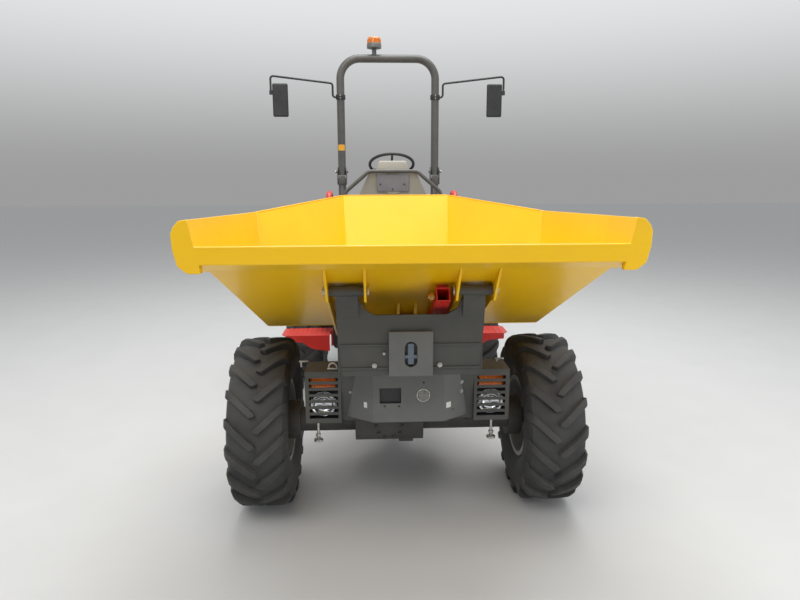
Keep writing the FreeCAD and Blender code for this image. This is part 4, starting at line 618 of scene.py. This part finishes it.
# A pad starts as a rounded box, is remeshed, swollen as cloth and kept inside the space its solid holds.
def addPad(name, pad, node):
    bm = bmesh.new()
    addBox(bm, pad["low"], pad["high"], 0.012, 3)
    thing = makeObject(name, bm)
    remesh = thing.modifiers.new("even", "REMESH")
    remesh.mode = "VOXEL"
    remesh.voxel_size = seat["voxel"]
    even = bpy.data.meshes.new_from_object(thing.evaluated_get(bpy.context.evaluated_depsgraph_get()))
    thing.modifiers.clear()
    thing.data = even
    swellPad(thing)
    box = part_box(node)
    flat = 2 if pad["lean"] == 0 else 1
    middle = (pad["low"][flat] + pad["high"][flat]) / 2
    for vertex in thing.data.vertices:
        for seam in seat["seams"]:
            sunk = seat["seamDepth"] * math.exp(-((vertex.co.x - seam) / seat["seamWidth"]) ** 2)
            side = vertex.co[flat] - middle
            if abs(side) > 0.012:
                vertex.co[flat] -= math.copysign(sunk, side)
        vertex.co.y += pad["lean"] * (vertex.co.z - pad["low"][2])
        for axis in range(3):
            vertex.co[axis] = min(max(vertex.co[axis], box[0][axis]), box[1][axis])
    smooth = thing.modifiers.new("fine", "SUBSURF")
    smooth.levels = smooth.render_levels = 1
    thing.data.shade_smooth()
    thing.data.materials.append(finishes["seatCover"])
    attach(thing, "rear_chassis")
    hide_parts(node)


addPad("seatPad", seat["cushion"], "seat_cushion")
addPad("backPad", seat["back"], "seat_back")
print("seat padded")

# Fittings of the front frame
frontFittings = {
    "plateFace": -1.672, "noseFace": -1.52, "noseFlat": 0.16, "noseSide": (0.281, -1.43),
    "plateBolts": [(-0.152, 0.866), (0.122, 0.866)], "noseBolts": [0.718, 0.674],
    "noseBoltX": (-0.262, 0.246), "boltSize": 0.0085, "horn": (0.066, 0.678, 0.0303),
    "labels": [(-0.198, 0.628), (0.182, 0.625)], "labelSize": (0.028, 0.026, 0.0008),
    "smallHoles": [(-0.108, 0.629), (-0.0436, 0.628), (0.0675, 0.738)], "holeRadius": 0.0052,
    "noseSlots": [(-0.2335, 0.598), (0.2115, 0.598)], "slotSize": (0.024, 0.009, 0.0010), "proud": 0.0004,
    "studs": [(-0.417, -1.42), (0.396, -1.42)],
    # top, bottom, radius, segments and bevel of a stud, of its pad and of its nut
    "studPieces": [(0.545, 0.434, 0.0065, 20, 0.001), (0.437, 0.426, 0.021, 32, 0.003),
                   (0.462, 0.451, 0.013, 6, 0.001)],
    "latchX": 0.465, "pin": (0.1775, -1.68, 1.185), "keeper": (0.3555, -1.668, 1.185),
}
housing = {"x": -0.08, "circle": 0.066, "front": 0.1155, "bolts": 10, "boltSize": 0.0075}


# A thin plate with its flat side towards a way.
def addPlate(bm, place, way, size):
    turn = way.to_track_quat("Z", "Y").to_matrix().to_4x4()
    bmesh.ops.create_cube(bm, size=1, matrix=Matrix.Translation(place) @ turn @ Matrix.Diagonal((*size, 1)))


# The ring of bolts in front of an axle's round housing.
def addHousingBolts(bm, axleY):
    for index in range(housing["bolts"]):
        angle = math.tau * index / housing["bolts"]
        place = (housing["x"] + math.cos(angle) * housing["circle"], axleY - housing["front"],
                 wheelZ + math.sin(angle) * housing["circle"])
        addBolt(bm, place, (0, -1, 0), housing["boltSize"])


# A point and the outward way on the slanted side of the nose plate.
def onNoseSide(x, z, proud=0.0):
    out = 1 if x > 0 else -1
    edgeX, edgeY = frontFittings["noseSide"]
    share = (abs(x) - frontFittings["noseFlat"]) / (edgeX - frontFittings["noseFlat"])
    y = frontFittings["noseFace"] + share * (edgeY - frontFittings["noseFace"])
    run, fall = edgeX - frontFittings["noseFlat"], edgeY - frontFittings["noseFace"]
    way = Vector((out * fall, -run, 0)).normalized()
    return Vector((x, y, z)) + way * proud, way


bm = bmesh.new()
for x, z in frontFittings["plateBolts"]:
    addBolt(bm, (x, frontFittings["plateFace"], z), (0, -1, 0), frontFittings["boltSize"])
for z in frontFittings["noseBolts"]:
    for x in frontFittings["noseBoltX"]:
        addBolt(bm, *onNoseSide(x, z), frontFittings["boltSize"])
nipple = Vector((-0.112, frontFittings["plateFace"], 0.92))
addRod(bm, nipple, nipple + Vector((0, -0.010, 0)), 0.0065, segments=6, bevel=0.0008)
addRod(bm, nipple + Vector((0, -0.010, 0)), nipple + Vector((0, -0.019, 0)), 0.0035, 0.0042, segments=16,
       bevel=0.001)
for x, y in frontFittings["studs"]:
    for top, low, radius, segments, bevel in frontFittings["studPieces"]:
        addRod(bm, (x, y, top), (x, y, low), radius, segments=segments, bevel=bevel)
for side in (-1, 1):
    x = side * frontFittings["latchX"]
    addBox(bm, (x - 0.042, -1.338, 0.786), (x + 0.002, -1.326, 0.792), 0.0015)
    addBox(bm, (x - 0.036, -1.336, 0.762), (x - 0.028, -1.328, 0.788), 0.001)
for side in (-1, 1):
    x, y, z = frontFittings["pin"]
    addRod(bm, (side * x, y, z), (side * x - side * 0.006, y, z), 0.024, segments=36, bevel=0.0015)
    x, y, z = frontFittings["keeper"]
    addBolt(bm, (side * x, y, z), (side, 0, 0), 0.008)
finishPiece("frontFasteners", bm, "zincSteel", "front_chassis")

bm = bmesh.new()
bowAt = Vector((-0.342, -1.43, 0.772))
bend = [bowAt + Vector((math.cos(turn) * 0.019, 0, 0.016 + math.sin(turn) * 0.021))
        for turn in [math.pi * (step / 8 * 1.3 - 0.15) for step in range(9)]]
tubeAlong(bm, bend, 0.005)
addRod(bm, bowAt + Vector((-0.026, 0, 0.008)), bowAt + Vector((0.026, 0, 0.008)), 0.0065, segments=20,
       bevel=0.001)
addBox(bm, (0.309, -1.436, 0.762), (0.334, -1.428, 0.812), 0.004)
addRod(bm, (0.3215, -1.4375, 0.797), (0.3215, -1.4265, 0.797), 0.0105, segments=28, bevel=0.0015)
finishPiece("lashingEyes", bm, "zincSteel", "front_chassis")

bm = bmesh.new()
for x, z in frontFittings["labels"]:
    addPlate(bm, *onNoseSide(x, z, frontFittings["proud"]), frontFittings["labelSize"])
finishPiece("blankStickers", bm, "blankLabel", "front_chassis")

# The small holes and the slots are drawn as dark discs and sheets of painted shade on the nose plate; the
# horn's dark body sits behind its grille
bm = bmesh.new()
face = frontFittings["noseFace"]
for x, z in frontFittings["smallHoles"]:
    addRod(bm, (x, face + 0.002, z), (x, face - 0.0006, z), frontFittings["holeRadius"], segments=24)
for x, z in frontFittings["noseSlots"]:
    addPlate(bm, *onNoseSide(x, z, frontFittings["proud"]), frontFittings["slotSize"])
# a dark sheet of painted shade set 12 mm behind the nose face
addBox(bm, (-0.129, -1.508, 0.640), (-0.035, -1.503, 0.715), 0.0)
hornX, hornZ, hornRadius = frontFittings["horn"]
addRod(bm, (hornX, face + 0.002, hornZ), (hornX, face + 0.040, hornZ), hornRadius, segments=48, bevel=0.002)
finishPiece("paintedHoleShadeAndHorn", bm, "blackPlastic", "front_chassis")
bm = bmesh.new()
addTurned(bm, [(hornRadius - 0.004, -0.002), (hornRadius, -0.002), (hornRadius, 0.0015),
               (hornRadius - 0.004, 0.0015), (hornRadius - 0.004, -0.002)], (hornX, face, hornZ), (0, -1, 0),
               48)
for line in range(-2, 3):
    for spoke in range(-2, 3):
        x, z = hornX + (spoke + 0.5 * (line % 2)) * 0.0105, hornZ + line * 0.0092
        if math.hypot(x - hornX, z - hornZ) < hornRadius - 0.006:
            addTurned(bm, [(0.0028, -0.001), (0.0044, -0.001), (0.0044, 0.0008), (0.0028, 0.0008),
                           (0.0028, -0.001)],
                      (x, face, z), (0, -1, 0), 16)
finishPiece("hornGrille", bm, "zincSteel", "front_chassis", 35)

bm = bmesh.new()
addBox(bm, (-0.013, -1.684, 0.872), (0.013, -1.668, 0.962), 0.004)
addRod(bm, (-0.025, -1.678, 0.905), (0.025, -1.678, 0.905), 0.008, segments=24, bevel=0.001)
finishPiece("towLatch", bm, "latchBlue", "front_chassis")
bm = bmesh.new()
addBox(bm, (-0.030, frontAxleY - 0.035, 0.300), (0.044, frontAxleY + 0.035, 0.340), 0.005)
addRod(bm, (0.008, frontAxleY, 0.302), (0.008, frontAxleY, 0.292), 0.012, segments=6, bevel=0.0015)
addHousingBolts(bm, frontAxleY)
finishPiece("frontAxleBolts", bm, "castIron", "front_chassis")
print("front frame fitted")

# Skip: weld beads along its folds, bush of the prop
weld = {"radius": 0.0028, "least": 0.35, "angles": (14, 78)}


def addWelds():
    source = bmesh.new()
    source.from_mesh(cadNodes["skip_tub"].data)
    bmesh.ops.remove_doubles(source, verts=source.verts, dist=0.0001)
    bm = bmesh.new()
    low, high = (math.radians(angle) for angle in weld["angles"])
    for edge in source.edges:
        if edge.calc_length() > weld["least"] and low < edge.calc_face_angle(0) < high:
            start, end = (v.co for v in edge.verts)
            way = (end - start).normalized()
            addRod(bm, start + way * 0.006, end - way * 0.006, weld["radius"], segments=8, bevel=0.001)
    source.free()
    finishPiece("skipWelds", bm, "skipYellow", "skip", 60)


addWelds()
bm = bmesh.new()
addTurned(bm, [(0.0001, -0.016), (0.011, -0.016), (0.0125, -0.014), (0.0125, -0.007), (0.0195, -0.007),
               (0.0195, 0.007), (0.0125, 0.007), (0.0125, 0.014), (0.011, 0.016), (0.0001, 0.016)],
               (0.084, -1.676, 1.158), (1, 0, 0), 40)
finishPiece("propBush", bm, "bronze", "skip")
print("skip fitted")

# Console: cover, gauge, switches, lever; pedals and tip lever on the floor
consoleLook = {
    "face": 0.430, "back": 0.600, "cover": (-0.117, 0.117, 1.548, 1.676), "coverFront": 0.4135,
    "screws": [(-0.092, 1.602), (0.083, 1.601), (-0.003, 1.566)], "gauge": (-0.112, 1.60, 0.036),
    "switches": [0.075, 0.108, 0.141], "pedals": [-0.125, 0.115], "pedalGrips": 6,
    # low and high corner of the instrument pod; how far it narrows, and where its top begins and ends
    "pod": [(-0.128, 0.455, 1.688), (0.128, 0.590, 1.772)], "podNarrow": 0.80, "podTop": (0.480, 0.560),
    "tipLever": [(0.345, 0.86, 0.79), (0.340, 0.822, 1.145)], "knob": (0.340, 0.820, 1.155),
    "knobRadius": 0.023, "boot": (0.345, 0.862, 0.7605), "wheelHub": (0, 0.700, 1.750), "wheelLean": 26,
}
bm = bmesh.new()
left, right, low, high = consoleLook["cover"]
addBox(bm, (left, consoleLook["coverFront"], low), (right, consoleLook["face"] + 0.002, high), 0.006, 4)
finishPiece("consoleCover", bm, "coverLilac", "rear_chassis")
bm = bmesh.new()
addBox(bm, *consoleLook["pod"])
for v in bm.verts:
    if v.co.z > 1.7:
        v.co.x *= consoleLook["podNarrow"]
        v.co.y = consoleLook["podTop"][0 if v.co.y < 0.5 else 1]
bevelPart(bm, bm.verts[:], 0.014, 4)
finishPiece("instrumentPod", bm, "consoleGrey", "rear_chassis")
bm = bmesh.new()
for x, z in consoleLook["screws"]:
    addRod(bm, (x, consoleLook["coverFront"] + 0.001, z), (x, consoleLook["coverFront"] - 0.0035, z), 0.0062,
           segments=24, bevel=0.0012)
x, z, radius = consoleLook["gauge"]
back = consoleLook["back"]
addTurned(bm, [(radius - 0.005, -0.002), (radius, -0.002), (radius, 0.009), (radius - 0.005, 0.011),
               (radius - 0.005, -0.002)], (x, back, z), (0, 1, 0), 48)
for across in consoleLook["switches"]:
    addBox(bm, (across - 0.012, back - 0.002, 1.575), (across + 0.012, back + 0.004, 1.625), 0.0015)
    addBox(bm, (across - 0.009, back + 0.003, 1.58), (across + 0.009, back + 0.010, 1.62), 0.003)
addRod(bm, (0.0, 0.655, 1.655), (-0.135, 0.668, 1.672), 0.0065, 0.005, segments=20, bevel=0.001)
addRod(bm, (-0.128, 0.6675, 1.671), (-0.168, 0.671, 1.676), 0.0115, 0.013, segments=28, bevel=0.004)
addRod(bm, (0.0, 0.634, 1.614), (0.0, 0.672, 1.692), 0.034, segments=36, bevel=0.004)
for across in consoleLook["pedals"]:
    addBox(bm, (across - 0.038, 0.662, 0.800), (across + 0.038, 0.676, 0.905), 0.005)
    for rib in range(consoleLook["pedalGrips"]):
        addBox(bm, (across - 0.034, 0.674, 0.812 + rib * 0.0155),
               (across + 0.034, 0.679, 0.818 + rib * 0.0155), 0.001)
finishPiece("consoleControls", bm, "blackPlastic", "rear_chassis")
bm = bmesh.new()
for across in consoleLook["pedals"]:
    addRod(bm, (across, 0.598, 0.872), (across, 0.666, 0.860), 0.009, segments=16)
    addRod(bm, (across - 0.05, 0.612, 0.872), (across + 0.05, 0.612, 0.872), 0.011, segments=20, bevel=0.001)
addRod(bm, *consoleLook["tipLever"], 0.0075, segments=20, bevel=0.001)
finishPiece("pedalArms", bm, "zincSteel", "rear_chassis")
bm = bmesh.new()
addTurned(bm, [(0.0001, 0.0), (0.044, 0.0), (0.044, 0.006), (0.034, 0.010), (0.036, 0.018), (0.028, 0.024),
               (0.030, 0.032), (0.021, 0.038), (0.022, 0.046), (0.012, 0.054), (0.010, 0.066),
               (0.0001, 0.066)], consoleLook["boot"],
          (0, 0, 1), 40)
bmesh.ops.create_uvsphere(bm, u_segments=32, v_segments=16, radius=consoleLook["knobRadius"],
                          matrix=Matrix.Translation(consoleLook["knob"]))
lean = math.radians(consoleLook["wheelLean"])
addTurned(bm, [(0.0001, 0.004), (0.020, 0.004), (0.032, 0.001), (0.0345, -0.004), (0.0345, -0.012),
               (0.0001, -0.012)],
          consoleLook["wheelHub"], (0, math.sin(lean), math.cos(lean)), 48)
finishPiece("leverBoot", bm, "blackPlastic", "rear_chassis")
bm = bmesh.new()
addRod(bm, (x, back + 0.001, z), (x, back + 0.0065, z), radius - 0.004, segments=48)
finishPiece("blankGauge", bm, "blankLabel", "rear_chassis")
print("console fitted")

# Roll-over hoop: hinge covers, pin ends, foot and clamp bolts, sticker; mirror glass
hoopLook = {"half": 0.425, "y": 1.62, "pinZ": 1.710, "pinEnd": 0.4805, "pinHead": 0.0145, "footZ": 0.576,
            "footBolt": 0.0085, "clampZ": 2.365, "clampBolt": 0.0045, "stickerZ": 1.925}
clips, bolts, covers = bmesh.new(), bmesh.new(), bmesh.new()
for side in (-1, 1):
    middle = side * hoopLook["half"]
    addBox(covers, (middle - 0.030, 1.5765, 1.598), (middle + 0.030, 1.5825, 1.677), 0.002)
    addBox(covers, (middle - 0.022, 1.581, 1.604), (middle + 0.022, 1.600, 1.640), 0.002)
    out = side * hoopLook["pinEnd"]
    addRod(bolts, (out, hoopLook["y"], hoopLook["pinZ"]),
           (out + side * 0.006, hoopLook["y"], hoopLook["pinZ"]), hoopLook["pinHead"],
           segments=28, bevel=0.0015)
    for y in (-0.045, 0.045):
        for x in (-0.048, 0.034):
            addBolt(bolts, (side * (hoopLook["half"] + x), hoopLook["y"] + y * 0.9, hoopLook["footZ"]),
                    (0, 0, 1), hoopLook["footBolt"])
    for z in (-0.012, 0.012):
        addBolt(clips, (side * hoopLook["half"], hoopLook["y"] - 0.0425, hoopLook["clampZ"] + z),
                (0, -1, 0), hoopLook["clampBolt"])
finishPiece("hingeCovers", covers, "hoopGrey", "rear_chassis")
finishPiece("postBolts", bolts, "zincSteel", "rear_chassis")
finishPiece("clampBolts", clips, "zincSteel", "rops")
bm = bmesh.new()
addTurned(bm, [(0.0351, -0.026), (0.0355, -0.026), (0.0355, 0.026), (0.0351, 0.026), (0.0351, -0.026)],
          (-hoopLook["half"], hoopLook["y"], hoopLook["stickerZ"]), (0, 0, 1), 48)
bmesh.ops.bisect_plane(bm, geom=bm.verts[:] + bm.edges[:] + bm.faces[:],
                       plane_co=(0, hoopLook["y"] - 0.02, 0), plane_no=(0, 1, 0), clear_outer=True)
bmesh.ops.holes_fill(bm, edges=[e for e in bm.edges if e.is_boundary])
finishPiece("hoopSticker", bm, "stickerOrange", "rops")
mirrorLook = {"x": 0.955, "half": 0.056, "front": 1.5892, "rear": 1.5915, "low": 2.204, "high": 2.461}
bm = bmesh.new()
for side in (-1, 1):
    x, half = side * mirrorLook["x"], mirrorLook["half"]
    addBox(bm, (x - half, mirrorLook["front"], mirrorLook["low"]),
           (x + half, mirrorLook["rear"], mirrorLook["high"]), 0.001)
finishPiece("mirrorGlass", bm, "mirrorGlass", "rops")
print("hoop and mirrors fitted")

# Bonnet: mesh behind the slots, latches, grip
bonnetLook = {"rear": 1.9035, "slots": (0.925, 1.21), "meshHalf": 0.232, "meshPitch": 0.008, "wire": 0.0008,
              "latchX": 0.3605, "latchY": 1.53}
bm = bmesh.new()
low, high = bonnetLook["slots"]
rear, pitch, wire = bonnetLook["rear"], bonnetLook["meshPitch"], bonnetLook["wire"]
for column in range(round(2 * bonnetLook["meshHalf"] / pitch) + 1):
    x = -bonnetLook["meshHalf"] + column * pitch
    addRod(bm, (x, rear, low), (x, rear, high), wire, segments=4)
for row in range(int((high - low) / pitch)):
    z = low + row * pitch
    addRod(bm, (-0.234, rear + wire, z), (0.234, rear + wire, z), wire, segments=4)
finishPiece("bonnetMesh", bm, "blackPlastic", "bonnet", 60)
bm = bmesh.new()
for side in (-1, 1):
    at = side * bonnetLook["latchX"]
    addBox(bm, (min(at, at + side * 0.008), bonnetLook["latchY"] - 0.014, 0.886),
           (max(at, at + side * 0.008), bonnetLook["latchY"] + 0.014, 0.966), 0.003)
    addRod(bm, (at, bonnetLook["latchY"], 0.954), (at + side * 0.013, bonnetLook["latchY"], 0.954), 0.010,
           segments=24, bevel=0.002)
tubeAlong(bm, [(-0.07, 1.560, 1.3285), (-0.07, 1.556, 1.350), (-0.05, 1.556, 1.354), (0.05, 1.556, 1.354),
               (0.07, 1.556, 1.350), (0.07, 1.560, 1.3285)], 0.006)
finishPiece("bonnetLatches", bm, "blackPlastic", "bonnet")
print("bonnet fitted")

# Rear: weight bolts, axle bolts and plug, tank caps
rearLook = {"weightFace": 1.925, "weightBolts": [(0.24, 0.520), (0.24, 0.660), (0.10, 0.790)],
            "boltSize": 0.014, "tankCap": (0.444, 0.285, 0.648), "capRadius": 0.030, "capGrips": 10}
bm = bmesh.new()
for side in (-1, 1):
    for x, z in rearLook["weightBolts"]:
        addBolt(bm, (side * x, rearLook["weightFace"], z), (0, 1, 0), rearLook["boltSize"])
finishPiece("weightBolts", bm, "zincSteel", "rear_chassis")
bm = bmesh.new()
addHousingBolts(bm, rearAxleY)
addRod(bm, (0, rearAxleY, 0.339), (0, rearAxleY, 0.326), 0.016, segments=6, bevel=0.002)
finishPiece("rearAxleBolts", bm, "castIron", "rear_chassis")
bm = bmesh.new()
for side in (-1, 1):
    x, y, z = rearLook["tankCap"]
    at = Vector((side * x, y, z))
    addRod(bm, at, at + Vector((side * 0.014, 0, 0)), rearLook["capRadius"], segments=40, bevel=0.003)
    for grip in range(rearLook["capGrips"]):
        turn = math.tau * grip / rearLook["capGrips"]
        edge = at + Vector((0, math.cos(turn), math.sin(turn))) * 0.0295
        addRod(bm, edge + Vector((side * 0.002, 0, 0)), edge + Vector((side * 0.013, 0, 0)), 0.003,
               segments=8)
finishPiece("tankCaps", bm, "blackPlastic", "rear_chassis")
print("rear fitted")

# Raised bars on the floor plate, round studs on the steps
treadLook = {
    "low": (-0.515, 0.125), "high": (0.515, 0.925), "pitch": 0.034, "bar": (0.024, 0.0065, 0.0016),
    "floor": 0.760,
    # rectangles of the floor that carry something: low x, high x, low y, high y
    "taken": [(-0.21, 0.21, 0.42, 0.61), (-0.385, -0.31, 0.36, 0.44), (0.31, 0.385, 0.36, 0.44),
              (-0.52, -0.44, 0.5, 0.86), (0.44, 0.52, 0.5, 0.86), (-0.31, 0.31, 0.91, 1.02),
              (0.29, 0.40, 0.81, 0.91)],
    "step": (0.495, 0.765, 0.045, 0.225, 0.572), "stud": (0.036, 0.0075, 0.003),
}


def isTaken(x, y):
    return any(lowX < x < highX and lowY < y < highY for lowX, highX, lowY, highY in treadLook["taken"])


bm = bmesh.new()
length, width, rise = treadLook["bar"]
column = 0
x = treadLook["low"][0]
while x < treadLook["high"][0]:
    row = 0
    y = treadLook["low"][1]
    while y < treadLook["high"][1]:
        if not isTaken(x, y):
            turn = Matrix.Rotation(math.radians(45 if (row + column) % 2 else -45), 4, "Z")
            put = Matrix.Translation((x, y, treadLook["floor"] + rise / 2 - 0.0002)) @ turn
            shape = put @ Matrix.Diagonal((length, width, rise, 1))
            bar = bmesh.ops.create_cube(bm, size=1, matrix=shape)["verts"]
            for v in bar:
                if v.co.z > treadLook["floor"] + 0.001:
                    middle = put.translation
                    v.co.x = middle.x + (v.co.x - middle.x) * 0.72
                    v.co.y = middle.y + (v.co.y - middle.y) * 0.72
        y += treadLook["pitch"]
        row += 1
    x += treadLook["pitch"]
    column += 1
# the floor bars take the frame's dark grey with painted shade
finishPiece("floorBars", bm, "frameGreyPaintedShade", "rear_chassis")
bm = bmesh.new()
lowX, highX, lowY, highY, top = treadLook["step"]
pitch, radius, rise = treadLook["stud"]
for side in (-1, 1):
    for column in range(int((highX - lowX) / pitch) + 1):
        for row in range(int((highY - lowY) / pitch) + 1):
            at = (side * (lowX + column * pitch), lowY + row * pitch, top)
            addRod(bm, at, (at[0], at[1], top + rise), radius, radius * 0.7, segments=16)
finishPiece("stepStuds", bm, "stepRed", "rear_chassis")
print("floor and steps fitted")
